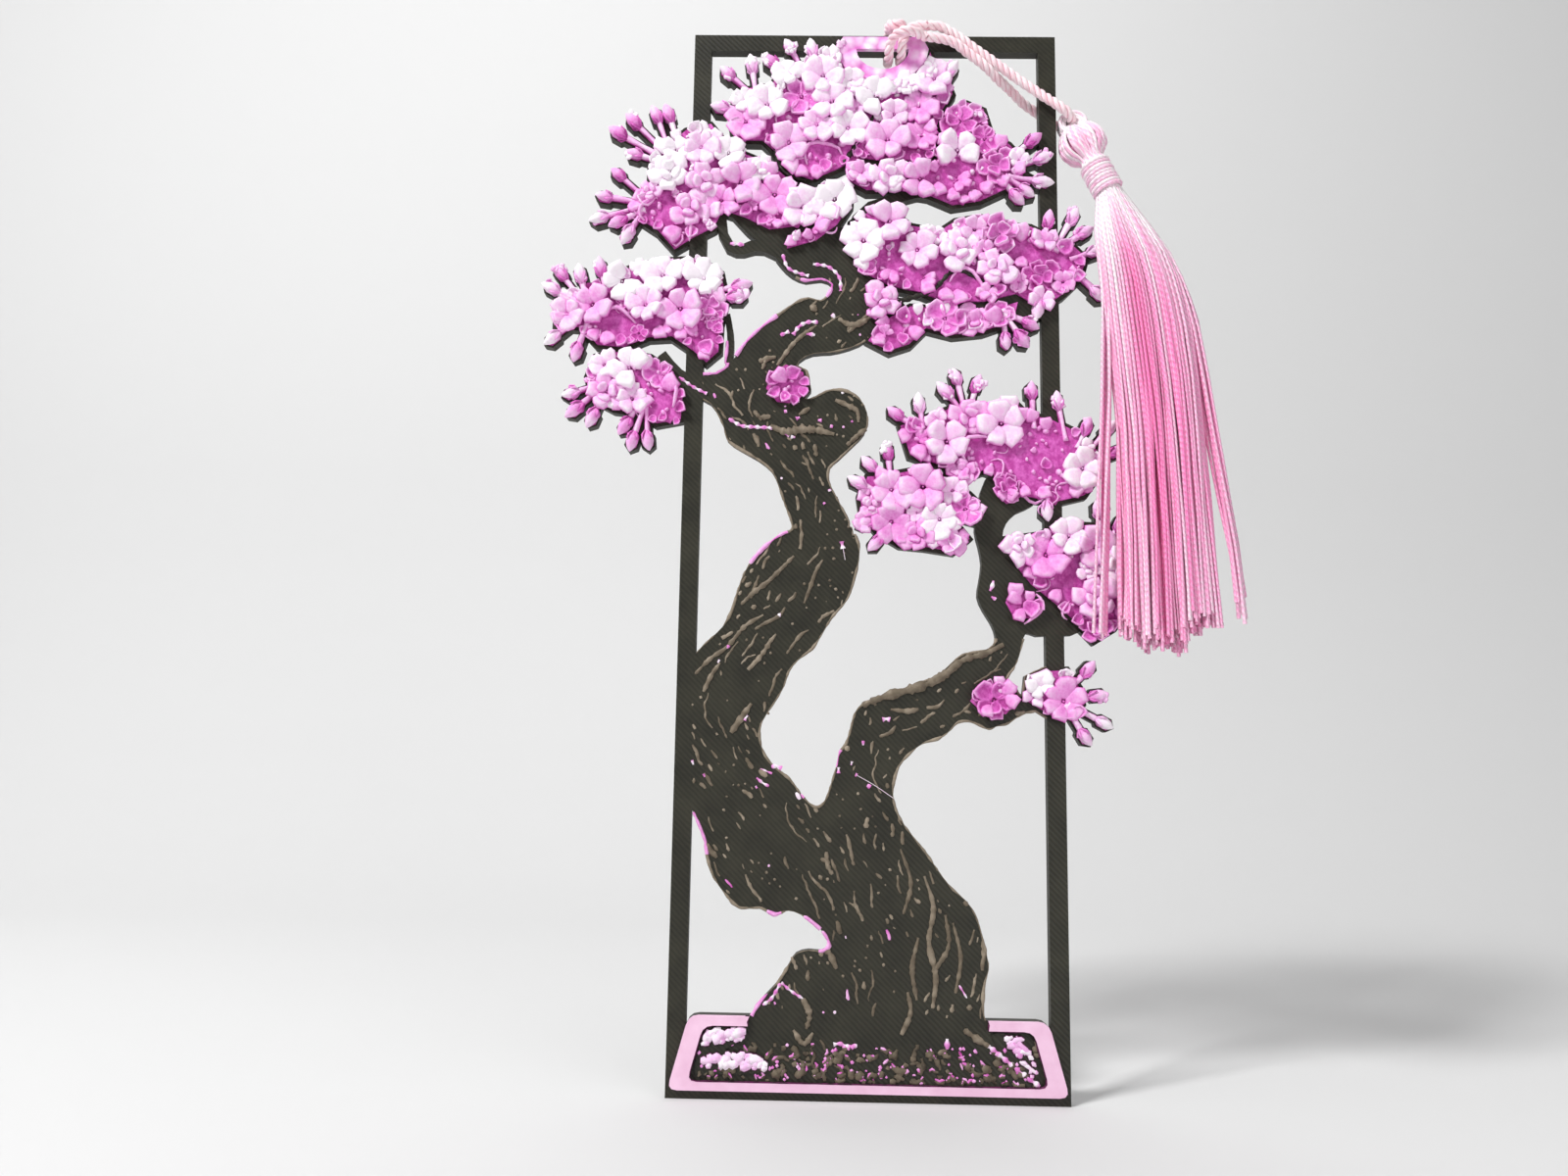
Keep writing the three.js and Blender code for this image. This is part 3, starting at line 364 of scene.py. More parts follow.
# Stage
bpy.context.scene.view_settings.view_transform = "Standard"
studio = {"floor": (0.72, 0.72, 0.72), "back": 0.30, "bend": 0.15, "side": 1.2, "front": -0.6, "high": 0.9,
          "world": 0.20, "aim": (0, 0, 0.08)}


def makeStage():
    bend, back = studio["bend"], studio["back"]
    profile = [(studio["front"], 0.0), (back - bend, 0.0)]
    for i in range(1, 9):
        a = pi / 2 * i / 8
        profile.append((back - bend + bend * sin(a), bend - bend * cos(a)))
    profile.append((back, studio["high"]))
    points = [(x * 1000, y * 1000, z * 1000) for y, z in profile for x in (-studio["side"], studio["side"])]
    faces = [(2 * i, 2 * i + 1, 2 * i + 3, 2 * i + 2) for i in range(len(profile) - 1)]
    sweep = linked("sweep", smooth(newMesh("sweep", points, faces)))
    paint(sweep, Finish("paleStage").shade((*studio["floor"], 1), 0.9))


makeStage()

lamps = {"key": {"place": (-0.37, -0.33, 0.55), "size": 0.15, "power": 4.5},
         "fill": {"place": (0.42, -0.50, 0.16), "size": 0.40, "power": 1.1},
         "top": {"place": (0.0, 0.02, 0.62), "size": 0.40, "power": 0.75}}
for lampName, lamp in lamps.items():
    light = bpy.data.lights.new(lampName, "AREA")
    light.size, light.energy = lamp["size"], lamp["power"]
    turn = (Vector(studio["aim"]) - Vector(lamp["place"])).to_track_quat("-Z", "Y").to_matrix().to_4x4()
    linked(lampName, light).matrix_world = Matrix.Translation(lamp["place"]) @ turn
world = bpy.data.worlds.new("room")
bpy.context.scene.world = world
world.use_nodes = True
world.node_tree.nodes["Background"].inputs["Color"].default_value = (1, 1, 1, 1)
world.node_tree.nodes["Background"].inputs["Strength"].default_value = studio["world"]


# Black, pink and brown print
hatchPitch = 0.8  # between the diagonal lines that the printer's nozzle leaves


def makeBlack():
    f = Finish("blackPrint")
    hatch = f.stripes(f.x + f.z, hatchPitch) * (f.y.absolute() > 0.79 * mm)
    grain = f.noise(0.5, 3)
    # the colour also follows the hatch lines a little, a painted sheen on their ridges
    colour = f.ramp(f.noise(5, 3) * 0.8 + hatch * 0.11 + grain * 0.2,
                    [(0.3, (0.0155, 0.0148, 0.0098)), (0.75, (0.037, 0.035, 0.0225))])
    normal = f.bump(hatch * 0.7 + f.stripes(f.y, 0.2) * 0.4, 0.035, 0.9, f.bump(grain, 0.03, 0.5))
    return f.shade(colour, 0.42 + grain * 0.16, normal, 0.35)


pinkStops = [(0.02, (0.49, 0.060, 0.34)), (0.16, (0.71, 0.15, 0.55)), (0.38, (0.85, 0.34, 0.73)),
             (0.62, (0.93, 0.60, 0.87)), (0.90, (0.98, 0.90, 0.97))]


def makePink():
    f = Finish("petalPink")
    tone, rim = f.attribute("tone"), f.attribute("rim")
    cloud, grain = f.noise(1.1, 3), f.noise(0.33, 3, 0.6)
    # tone carries the clusters' painted light and shade; rim makes raised rims paler and hollows deeper, partly
    # the print's own layers and partly painted shade
    value = tone * tone * 0.74 + rim * 0.42 + (cloud - 0.5) * 0.5 + (grain - 0.5) * 0.3
    normal = f.bump(grain + f.stripes(f.x + f.z, hatchPitch) * 0.12, 0.06, 0.8, f.bump(cloud, 0.12, 0.7))
    return f.shade(f.ramp(value.clamped(), pinkStops), 0.5, normal, 0.18)


def makePlum():
    # the dark line that the black print leaves around raised pink
    f = Finish("plumEdge")
    colour = f.ramp(f.noise(0.9, 3), [(0.35, (0.020, 0.007, 0.014)), (0.7, (0.17, 0.022, 0.11))])
    return f.shade(colour, 0.5, f.bump(f.noise(0.33, 3), 0.05, 0.7), 0.18)


def makePale():
    f = Finish("palePink")
    colour = f.ramp(f.noise(2.5, 3), [(0.3, (0.84, 0.51, 0.70)), (0.7, (0.93, 0.62, 0.81))])
    height = f.stripes(f.x - f.z, 0.45) * 0.3 + f.noise(0.2, 2)
    return f.shade(colour, 0.5, f.bump(height, 0.012, 0.5), 0.2)


def makeRing():
    # the print round the cord's hole is lumpy like the petals beside it
    f = Finish("petalRing")
    lump = f.add("ShaderNodeTexVoronoi", {"feature": "SMOOTH_F1"},
                 {"Vector": f.place, "Scale": 1 / (1.7 * mm), "Smoothness": 0.25, "Randomness": 0.9}, "Distance")
    value = 0.98 - lump * 0.85 + (f.noise(1.1, 3) - 0.5) * 0.6
    normal = f.bump(1 - lump, 0.45, 1.0, f.bump(f.noise(0.33, 3), 0.05, 0.7))
    return f.shade(f.ramp(value.clamped(), pinkStops), 0.5, normal, 0.18)


def makeFleck():
    f = Finish("barkFleck")
    value = f.attribute("rim") * 0.55 + f.attribute("tone") * 0.35 + (f.noise(0.6, 3) - 0.5) * 0.5 + 0.1
    colour = f.ramp(value.clamped(), [(0.1, (0.065, 0.051, 0.037)), (0.5, (0.175, 0.140, 0.100)),
                                      (0.9, (0.36, 0.30, 0.23))])
    return f.shade(colour, 0.5, f.bump(f.noise(0.15, 2), 0.015, 0.6), 0.2)


black, petalPink, plumEdge, fleckBrown = makeBlack(), makePink(), makePlum(), makeFleck()
blackNodes = [n["node"] for n in frame["record"]["subparts"] if n["material_slot"] == "black_plastic"]
for name in blackNodes:
    paint(nodes[name], black)
paint(nodes["pot_rim"], makePale())
paint(nodes["cord_ring"], makeRing())


# Rows and threads: shapes that repeat
def scatterTree():
    g = Shaper("scatter", {"Kinds": "Collection", "Material": "Material"})
    kinds = g.add("GeometryNodeCollectionInfo", {"transform_space": "RELATIVE"},
                  {"Collection": g.given["Kinds"], "Separate Children": True, "Reset Children": True})
    turn = g.add("FunctionNodeEulerToRotation", {}, {0: g.attribute("turn", "FLOAT_VECTOR")})
    index = g.add("FunctionNodeFloatToInt", {}, {0: g.attribute("kind")})
    return g.end(g.add("GeometryNodeInstanceOnPoints", {}, {
        "Points": g.given["Geometry"], "Instance": kinds, "Pick Instance": True, "Instance Index": index,
        "Rotation": turn, "Scale": g.attribute("size", "FLOAT_VECTOR")}))


def threadTree():
    g = Shaper("threads", {"Sides": "Int", "Material": "Material"})
    line = g.add("GeometryNodeMeshToCurve", {}, {0: g.given["Geometry"]})
    circle = g.add("GeometryNodeCurvePrimitiveCircle", {}, {"Resolution": g.given["Sides"], "Radius": 1.0})
    return g.end(g.add("GeometryNodeCurveToMesh", {}, {"Curve": line, "Profile Curve": circle, "Fill Caps": True,
                                                       "Scale": g.attribute("thickness")}))


scattered, threaded = scatterTree(), threadTree()


class Seats:
    # where the copies of a shelf's shapes stand, how they are turned and how large they are
    def __init__(self):
        self.places, self.marks = [], {"turn": [], "size": [], "kind": [], "tone": []}

    def put(self, place, matrix, size, kind, tone):
        self.places.append(place)
        for key, value in zip(self.marks, (tuple(matrix.to_euler()), [c * mm for c in size], kind, tone)):
            self.marks[key].append(value)

    def grow(self, name, shelf, material):
        source = newMesh(name + "Seats", self.places, attributes=self.marks)
        return shaped(name, source, scattered, {"Kinds": shelf, "Material": material})


def makeThreads(name, lines, material, sides, flat=1.0, level=face):
    # each line is a list of (x, y, z, radius, tone, rim); flat presses the threads against a level
    points, edges = [], []
    for line in lines:
        edges.extend((len(points) + i, len(points) + i + 1) for i in range(len(line) - 1))
        points.extend(line)
    points = np.array(points, float)
    marks = {"thickness": points[:, 3] * mm, "tone": points[:, 4], "rim": points[:, 5]}
    made = shaped(name, newMesh(name + "Lines", points[:, :3], edges=edges, attributes=marks), threaded,
                  {"Sides": sides, "Material": material})
    if flat != 1:
        for v in made.data.vertices:
            v.co.y = level * mm + (v.co.y - level * mm) * flat
    return made


def printLines(name, lines, material, sides=6, flat=1.0, level=face, standsFor=None):
    # threads of print on the sheet
    slot = "black_plastic" if material in (black, fleckBrown) else "pink_relief"
    return settle(makeThreads(name, lines, material, sides, flat, level), "bookmark", standsFor)


def facing(spin, tip=0.0, roll=0.0):
    # turns a shape that lies on XY so that it faces the front, spun by this angle and tipped a little
    return (Matrix.Rotation(pi / 2, 3, "X") @ Matrix.Rotation(tip, 3, "X") @ Matrix.Rotation(roll, 3, "Y")
            @ Matrix.Rotation(spin, 3, "Z"))


def castTree(names):
    points, faces = [], []
    for name in names:
        data, base = nodes[name].data, len(points)
        points.extend(v.co.copy() for v in data.vertices)
        faces.extend([base + i for i in p.vertices] for p in data.polygons)
    return BVHTree.FromPolygons(points, faces)


def covers(tree, x, z):
    # whether a look from the front meets the tree's faces at this place
    return tree.ray_cast(Vector((x * mm, -0.05, z * mm)), Vector((0, 1, 0)))[0] is not None


def coveredCells(tree, low, high, step):
    # the cells of a grid that the tree's faces cover as seen from the front, and how far each lies from the rim
    inside, outside = [], []
    for x in np.arange(low[0] - 2 * step, high[0] + 2 * step, step):
        for z in np.arange(low[1] - 2 * step, high[1] + 2 * step, step):
            (inside if covers(tree, x, z) else outside).append((x, z))
    inside, outside = np.array(inside), np.array(outside)
    depth = np.empty(len(inside))
    for start in range(0, len(inside), 400):
        part = inside[start:start + 400]
        depth[start:start + 400] = np.sqrt(((part[:, None] - outside[None]) ** 2).sum(2)).min(1)
    return inside, depth


def flatBox(name):
    low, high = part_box(name)
    return (low[0] / mm, low[2] / mm), (high[0] / mm, high[2] / mm)


def outlines(names, level, sign, whole):
    # the outline of the faces at this level that face the front (-1) or the back (1), as chains of points
    count = {}
    for name in names:
        data = nodes[name].data
        for p in data.polygons:
            if p.normal.y * sign < 0.99 or abs(p.center.y - level * mm) > nearly:
                continue
            corners = [tuple(round(c / mm, 3) for c in (data.vertices[i].co.x, data.vertices[i].co.z))
                       for i in p.vertices]
            for a, b in zip(corners, corners[1:] + corners[:1]):
                key = (min(a, b), max(a, b))
                count[key] = count.get(key, 0) + 1
    near = {}
    for (a, b), times in count.items():
        middle, along = Vector(a).lerp(Vector(b), 0.5), Vector(b) - Vector(a)
        if times != 1 or along.length < 1e-4:
            continue
        side = Vector((-along.y, along.x)).normalized() * 0.25
        if all(covers(whole, middle.x + s * side.x, middle.y + s * side.y) for s in (-1, 1)):
            continue
        near.setdefault(a, []).append(b)
        near.setdefault(b, []).append(a)
    chains = []
    while near:
        chain = [next((k for k in near if len(near[k]) == 1), next(iter(near)))]
        while near.get(chain[-1]):
            onward = near[chain[-1]].pop()
            near[onward].remove(chain[-1])
            chain.append(onward)
        near = {k: ends for k, ends in near.items() if ends}
        if len(chain) > 3:
            chains.append(chain)
    return chains


# Blossom
# how pale: raised rims partly show the print's paler top layers and partly painted light; the deeper pink at the
# heart and at each petal's base is painted shade
petal = {  # rings from a petal's middle to its edge: how far out, how high, how pale
    "hollow": [(0.0, 0.20, 0.10), (0.55, 0.24, 0.16), (0.75, 0.55, 0.60), (0.90, 1.0, 1.0), (1.0, 0.86, 0.9),
               (1.04, 0.30, 0.3), (0.86, -0.25, 0.0)],
    "full": [(0.0, 1.20, 0.78), (0.42, 1.30, 0.90), (0.70, 1.22, 1.0), (0.90, 0.95, 0.95), (1.02, 0.50, 0.35),
             (1.05, 0.05, 0.0), (0.86, -0.25, 0.0)],
    "pale": {"hollow": 0.15, "full": 0.42}, "segments": 9, "start": 0.05, "thick": 0.10, "cup": 0.23,
    "inner": {"long": 0.64, "rise": 0.10, "tilt": 0.28, "turn": 0.6}, "dotReach": 0.26, "dot": 0.045}


def petalRings(length, width, cup, wobble, form):
    # a petal lies along +X from the heart, with a small notch at its tip
    points, rims, faces = [], [], []
    rings, pale, segments = petal[form], petal["pale"][form], petal["segments"]
    start, thick = petal["start"], petal["thick"]
    centre, half = start + (length - start) * 0.54, (length - start) * 0.5

    def place(r, angle, z, rim):
        swing = angle if angle < pi else angle - tau
        r *= 1 + 0.07 * sin(3 * angle + wobble) + 0.05 * sin(5 * angle + 2 * wobble)
        notch = 1 - 0.16 * exp(-(swing ** 2) / 0.08)
        x = centre + r * half * cos(angle) * notch
        y = r * width / 2 * (0.88 + 0.20 * cos(angle)) * sin(angle)
        outer = x / length
        points.append((x, y, z * cup * (0.5 + 0.5 * outer) + thick * (0.35 + 0.65 * outer)))
        # paler towards the petal's tip: partly the print's paler top layers, partly painted shade at its base by
        # the heart
        rims.append(max(0.0, min(1.0, rim * (pale + (1.1 - pale) * outer))))

    place(0, 0, *rings[0][1:])
    for r, z, rim in rings[1:]:
        for k in range(segments):
            place(r, tau * k / segments, z, rim)
    place(0, 0, -0.35, 0.0)
    last = 1 + (len(rings) - 2) * segments
    for k in range(segments):
        n = (k + 1) % segments
        faces.append((0, 1 + k, 1 + n))
        faces.extend((a + k, a + segments + k, a + segments + n, a + n) for a in range(1, last, segments))
        faces.append((last + n, last + k, len(points) - 1))
    return points, rims, faces


def heartDots(count, reach, rise, size, rng):
    points, rims, faces = [], [], []
    for i in range(count):
        angle = tau * i / count + rng.uniform(-0.25, 0.25)
        away = reach * rng.uniform(0.6, 1.0) if i else 0.0
        x, y, s = away * cos(angle), away * sin(angle), size * rng.uniform(0.8, 1.2)
        base = len(points)
        for z, w in ((0.0, 1.1), (rise * 0.8, 1.0)):
            points.extend((x + s * w * cos(tau * k / 5), y + s * w * sin(tau * k / 5), z) for k in range(5))
        points.append((x, y, rise * rng.uniform(0.95, 1.1)))
        rims.extend([0.0] * 5 + [0.1] * 5 + [0.35])
        for k in range(5):
            n = (k + 1) % 5
            faces.append((base + k, base + n, base + 5 + n, base + 5 + k))
            faces.append((base + 5 + k, base + 5 + n, base + 10))
        faces.append(tuple(range(base + 4, base - 1, -1)))
    return points, rims, faces


def unitMesh(name, points, faces, rims):
    return smooth(newMesh(name, [tuple(c / mm for c in p) for p in points], faces, attributes={"rim": rims}))


def sleeve(base, sides, rings):
    # the faces between rings of points that follow one another, closed at both ends
    last = base + sides * (rings - 1)
    faces = [(a + (k + 1) % sides, a + k, a + sides + k, a + sides + (k + 1) % sides)
             for a in range(base, last, sides) for k in range(sides)]
    return [*faces, tuple(range(base, base + sides)), tuple(range(last + sides - 1, last - 1, -1))]


def flowerMesh(name, form, petals, inner, span, lift, dots):
    points, rims, faces = [], [], []
    rng, inside = kindsRng, petal["inner"]

    def take(part, matrix):
        base = len(points)
        points.extend(tuple(matrix @ Vector(p)) for p in part[0])
        rims.extend(part[1])
        faces.extend(tuple(base + i for i in f) for f in part[2])

    def layer(count, length, rise, tilt, spin):
        for i in range(count):
            angle = spin + span * (i + 0.5) / count - span / 2 + rng.uniform(-0.15, 0.15)
            long = length * rng.uniform(0.82, 1.08)
            wide = 1.52 * long * sin(min(span / count, 1.6) / 2) * rng.uniform(0.94, 1.18)
            part = petalRings(long, wide, petal["cup"] * rng.uniform(0.7, 1.3), rng.uniform(0, tau), form)
            turn = Matrix.Translation((0, 0, rise + 0.035 * (i % 2))) @ Matrix.Rotation(angle, 4, "Z")
            lean = Euler((rng.uniform(-0.14, 0.14), -tilt + rng.uniform(-0.07, 0.07), 0)).to_matrix().to_4x4()
            take(part, turn @ lean)

    layer(petals, 1.0, 0.0, lift, rng.uniform(0, 0.4))
    if inner:
        layer(inner, inside["long"], inside["rise"], lift + inside["tilt"], inside["turn"])
    if dots:
        hearts = heartDots(dots, petal["dotReach"], 0.22 + 0.12 * bool(inner), petal["dot"], rng)
        take(hearts, Matrix.Identity(4))
    return unitMesh(name, points, faces, rims)


def arcMesh(name, reach):
    # a raised bow, such as the rim of a petal that lies flat in the print
    points = []
    for i in range(9):
        a, r = (i / 8 - 0.5) * reach, 0.12 * (0.45 + 0.55 * sin(pi * i / 8))
        for b in (tau * k / 5 for k in range(5)):
            out = 1 + 0.12 * sin(3 * a) + r * cos(b)
            points.append((out * cos(a), out * sin(a), 0.35 * r / 0.12 * (0.6 + 0.8 * sin(b))))
    return unitMesh(name, points, sleeve(0, 5, 9), [1.1] * len(points))


def budMesh(name):
    # a bud along +X, its middle at the origin, half a unit to its tip, with sepals around its foot
    points, rims, faces = [], [], []
    profile = [(-0.50, 0.16, 0.1), (-0.40, 0.44, 0.2), (-0.18, 0.78, 0.45), (0.08, 0.80, 0.75), (0.30, 0.56, 0.9),
               (0.44, 0.26, 1.0)]
    sides = 8
    last = (len(profile) - 1) * sides
    for x, r, rim in profile:
        for k in range(sides):
            crease = 1 - 0.10 * (k % 2)
            a = tau * k / sides + 0.5 * x
            points.append((x, r * 0.5 * crease * cos(a), r * 0.5 * crease * sin(a)))
            rims.append(rim)
    points.extend([(-0.52, 0, 0), (0.52, 0.02, 0.02)])
    rims.extend([0.1, 1.0])
    for a in range(0, last, sides):
        for k in range(sides):
            n = (k + 1) % sides
            faces.append((a + k, a + n, a + n + sides, a + k + sides))
    for k in range(sides):
        faces.append((len(points) - 2, (k + 1) % sides, k))
        faces.append((last + k, last + (k + 1) % sides, len(points) - 1))
    for a in (tau * (k + 0.5) / 4 for k in range(4)):
        faces.extend(sleeve(len(points), 4, 3))
        side, out = Vector((0, -sin(a), cos(a))), Vector((0, cos(a), sin(a)))
        for x, away, half in ((-0.52, 0.05, 0.10), (-0.26, 0.40, 0.14), (-0.02, 0.46, 0.02)):
            middle = Vector((x, 0, 0)) + out * away
            points.extend(tuple(middle + shift) for shift in (side * half, out * 0.06, side * -half, out * -0.05))
            rims.extend([0.0] * 4)
    return unitMesh(name, points, faces, rims)


def stemMesh(name):
    # a stem from the origin to -1 along X, a unit wide, thicker at both ends
    rings = ((0.04, 0.42), (-0.08, 0.55), (-0.5, 0.38), (-0.92, 0.5), (-1.04, 0.6))
    points = [(x, r * cos(tau * k / 6), r * sin(tau * k / 6)) for x, r in rings for k in range(6)]
    return unitMesh(name, points, sleeve(0, 6, len(rings)), [0.35, 0.85, 0.85, 0.35, 0.35, 0.35] * len(rings))


def dropMesh(name):
    # a low round drop of print, half a unit across
    points = [(0, 0, 0.45)]
    for r, z in ((0.28, 0.36), (0.5, 0.1), (0.5, -0.4)):
        for k in range(7):
            reach = r * (1 + 0.12 * sin(2 * k + 5 * z))
            points.append((reach * cos(tau * k / 7), reach * sin(tau * k / 7), z))
    faces = []
    for k in range(7):
        n = (k + 1) % 7
        faces.append((0, 1 + k, 1 + n))
        faces.extend((a + k, a + 7 + k, a + 7 + n, a + n) for a in (1, 8))
    faces.append(tuple(range(21, 14, -1)))
    return unitMesh(name, points, faces, [1.0] + [0.95] * 7 + [0.5] * 7 + [0.0] * 7)


kindsRng = random.Random(11)
flowerKinds = [  # group, name, petal form, petals, petals in the middle, angle they span, lift, dots
    ("hollow", "open", "hollow", 5, 0, tau, 0.10, 7), ("hollow", "wide", "hollow", 5, 0, tau, 0.02, 9),
    ("hollow", "deepDouble", "hollow", 5, 3, tau, 0.06, 5), ("full", "five", "full", 5, 0, tau, 0.08, 7),
    ("full", "loose", "full", 5, 0, tau, 0.14, 9), ("full", "double", "full", 5, 3, tau, 0.06, 5),
    ("full", "six", "full", 6, 0, tau, 0.16, 6), ("full", "four", "full", 4, 0, 4.9, 0.12, 5),
    ("part", "half", "full", 3, 0, 2.6, 0.2, 3), ("part", "fan", "full", 4, 2, 3.4, 0.2, 4),
    ("part", "pair", "full", 2, 0, 1.7, 0.12, 0), ("petal", "petal", "full", 1, 0, 1.3, 0.08, 0),
    ("petal", "hollowPetal", "hollow", 1, 0, 1.3, 0.08, 0)]
blossomShapes = [(group, flowerMesh(*form)) for group, *form in flowerKinds]
blossomShapes += [("bud", budMesh("bud")), ("stem", stemMesh("stem")), ("arc", arcMesh("arc", 2.2)),
                  ("arc", arcMesh("longArc", 3.4)), ("drop", dropMesh("drop"))]
blossomShelf = bpy.data.collections.new("blossomKinds")
kindsOf = {}
for i, (group, data) in enumerate(blossomShapes):
    blossomShelf.objects.link(bpy.data.objects.new(f"{i:02d}_{data.name}", data))
    kindsOf.setdefault(group, []).append(i)

bloom = {"sizes": (3.3, 2.8, 2.3, 1.8, 1.35), "reach": 0.56, "overlap": 0.66, "seat": -1.1, "step": 0.45,
         "lean": 0.16, "bed": 0.35, "budLong": 3.1, "budWide": 2.1, "budTop": -1.55, "stem": 0.8,
         "lobeGap": (1.7, 2.9), "lobeStep": 0.3, "column": 2.5, "drops": 0.05, "large": 1.6,
         "bedTone": 0.16, "bedRim": 0.15, "budSeat": -1.35, "stemSeat": -1.3, "dropSeat": -1.2,
         "ringSeat": -1.5, "twigSeat": -1.2, "twig": 0.42,
         "cordRooms": [(-3.4, 5.7, 143.4, 149), (0.4, 9.5, 146, 160)],
         # painted light for each cluster: the crown and the upper left paler, the right canopy deeper
         "pale": {"crown_blossom": 0.16, "upper_left_blossom": 0.12, "right_canopy_blossom": -0.06},
         "ringFlowers": [(-4.9, 142.8, 2.0, 4.2), (-2.6, 142.0, 2.1, 4.5), (0.2, 141.8, 2.2, 4.8),
                         (2.9, 141.9, 2.2, 4.6), (5.6, 142.3, 2.1, 5.2), (7.6, 144.3, 2.0, 6.0),
                         (-5.6, 145.4, 1.7, 3.0), (-4.6, 147.9, 1.3, 2.4)]}
twigs = {"crown_blossom": [[(-4.4, 129.7), (-2.8, 132.3), (-1.1, 135), (0.1, 137.6)],
                           [(-14.5, 132.8), (-13.2, 128.7), (-9.9, 127)]],
         "second_tier_blossom": [[(3.5, 108.9), (8.5, 110.7), (11.7, 113.7), (15.2, 112.4), (19.1, 110.8)]]}
blossomNodes = sorted(n for n in nodes if n.endswith("_blossom"))


def bedOf(name, thickness, newName, material):
    # the sheet of print that the relief stands on: the node's own back face, raised by a thickness
    bm = bmesh.new()
    bm.from_mesh(nodes[name].data)
    bmesh.ops.remove_doubles(bm, verts=bm.verts, dist=1e-6)
    bm.normal_update()
    gone = [f for f in bm.faces if f.normal.y <= 0.9 or abs(f.calc_center_median().y - face * mm) >= nearly]
    bmesh.ops.delete(bm, geom=gone, context="FACES")
    for v in bmesh.ops.extrude_face_region(bm, geom=list(bm.faces))["geom"]:
        if isinstance(v, bmesh.types.BMVert):
            v.co.y -= thickness * mm
    bmesh.ops.recalc_face_normals(bm, faces=bm.faces)
    for title, value in (("tone", bloom["bedTone"]), ("rim", bloom["bedRim"])):
        layer = bm.verts.layers.float.new(title)
        for v in bm.verts:
            v[layer] = value
    data = bpy.data.meshes.new(newName)
    bm.to_mesh(data)
    bm.free()
    settle(paint(linked(newName, data), material), "bookmark")


def budSeats(name):
    # the middle and the long direction of each bud, read from the flat tops that the model gives them
    data, level = nodes[name].data, bloom["budTop"] * mm
    groups, owner = [], {}
    for p in data.polygons:
        corners = [data.vertices[i].co for i in p.vertices]
        if p.normal.y > -0.99 or max(abs(c.y - level) for c in corners) > nearly:
            continue
        keys = {(round(c.x, 6), round(c.z, 6)) for c in corners}
        group = keys.union(*(groups[g] for g in {owner[k] for k in keys if k in owner}))
        groups.append(group)
        owner.update((k, len(groups) - 1) for k in group)
    seats = []
    for g in set(owner.values()):
        points = np.array(sorted(groups[g])) / mm
        if len(points) >= 6:
            spread = points - points.mean(0)
            seats.append(((points.max(0) + points.min(0)) / 2, np.linalg.eigh(spread.T @ spread)[1][:, 1]))
    return seats


def paintedLightToneAt(x, z, name, cells, rng):
    # painted light and shade: pale where a cluster's upper side and its left catch the light, deep pink towards
    # its lower side, with random tone on top
    across = (x - cells[:, 0].min()) / np.ptp(cells[:, 0])
    column = cells[np.abs(cells[:, 0] - x) < bloom["column"], 1]
    up = (z - column.min()) / max(2.0, np.ptp(column)) if len(column) else 0.5
    broad = wave(x * 0.15, 3.0, z * 0.15)
    value = 0.13 + 0.66 * up - 0.12 * across + 0.60 * broad + bloom["pale"].get(name, 0)
    return float(min(1.0, max(0.0, 0.5 + 1.5 * (value - 0.45) + rng.uniform(-0.14, 0.14))))


def besideCord(x, z):
    # the hole for the cord and the hitch stay free
    return any(left < x < right and low < z < high for left, right, low, high in bloom["cordRooms"])


def flowerSpots(cells, depth, rng):
    placed, order, near = [], list(range(len(cells))), bloom["overlap"]
    for size in bloom["sizes"]:
        rng.shuffle(order)
        for i in order:
            reach, (x, z) = size * rng.uniform(0.92, 1.06), cells[i]
            if depth[i] >= reach * bloom["reach"] and all(
                    (x - a) ** 2 + (z - b) ** 2 > (near * (reach + c)) ** 2 for a, b, c in placed):
                placed.append((x, z, reach))
    return placed


def putBuds(seats, name, cells, depth, rng):
    middle = cells.mean(0)
    spots = budSeats(name)
    for spot, along in spots:
        if (spot - middle) @ along < 0:
            along = -along
        straight = atan2(along[1], along[0])
        spin, size = straight + rng.uniform(-0.12, 0.12), rng.uniform(0.9, 1.12)
        wide = bloom["budWide"] * size
        seats.put((spot[0], bloom["budSeat"], spot[1]), facing(spin, rng.uniform(-0.1, 0.1)),
                  (bloom["budLong"] * size, wide, wide), kindsOf["bud"][0], rng.uniform(0.3, 0.85))
        long = 1.5
        while long < 5.5:  # the stem reaches back to the cluster
            away = np.abs(cells - (spot - along * long)).sum(1)
            if away.min() < 0.6 and depth[away.argmin()] > 1.1:
                break
            long += 0.4
        start, wide = spot - along * 1.2, bloom["stem"] * rng.uniform(0.85, 1.15)
        seats.put((start[0], bloom["stemSeat"], start[1]), facing(straight), (long - 0.6, wide, wide),
                  kindsOf["stem"][0], rng.uniform(0.35, 0.75))
    return spots


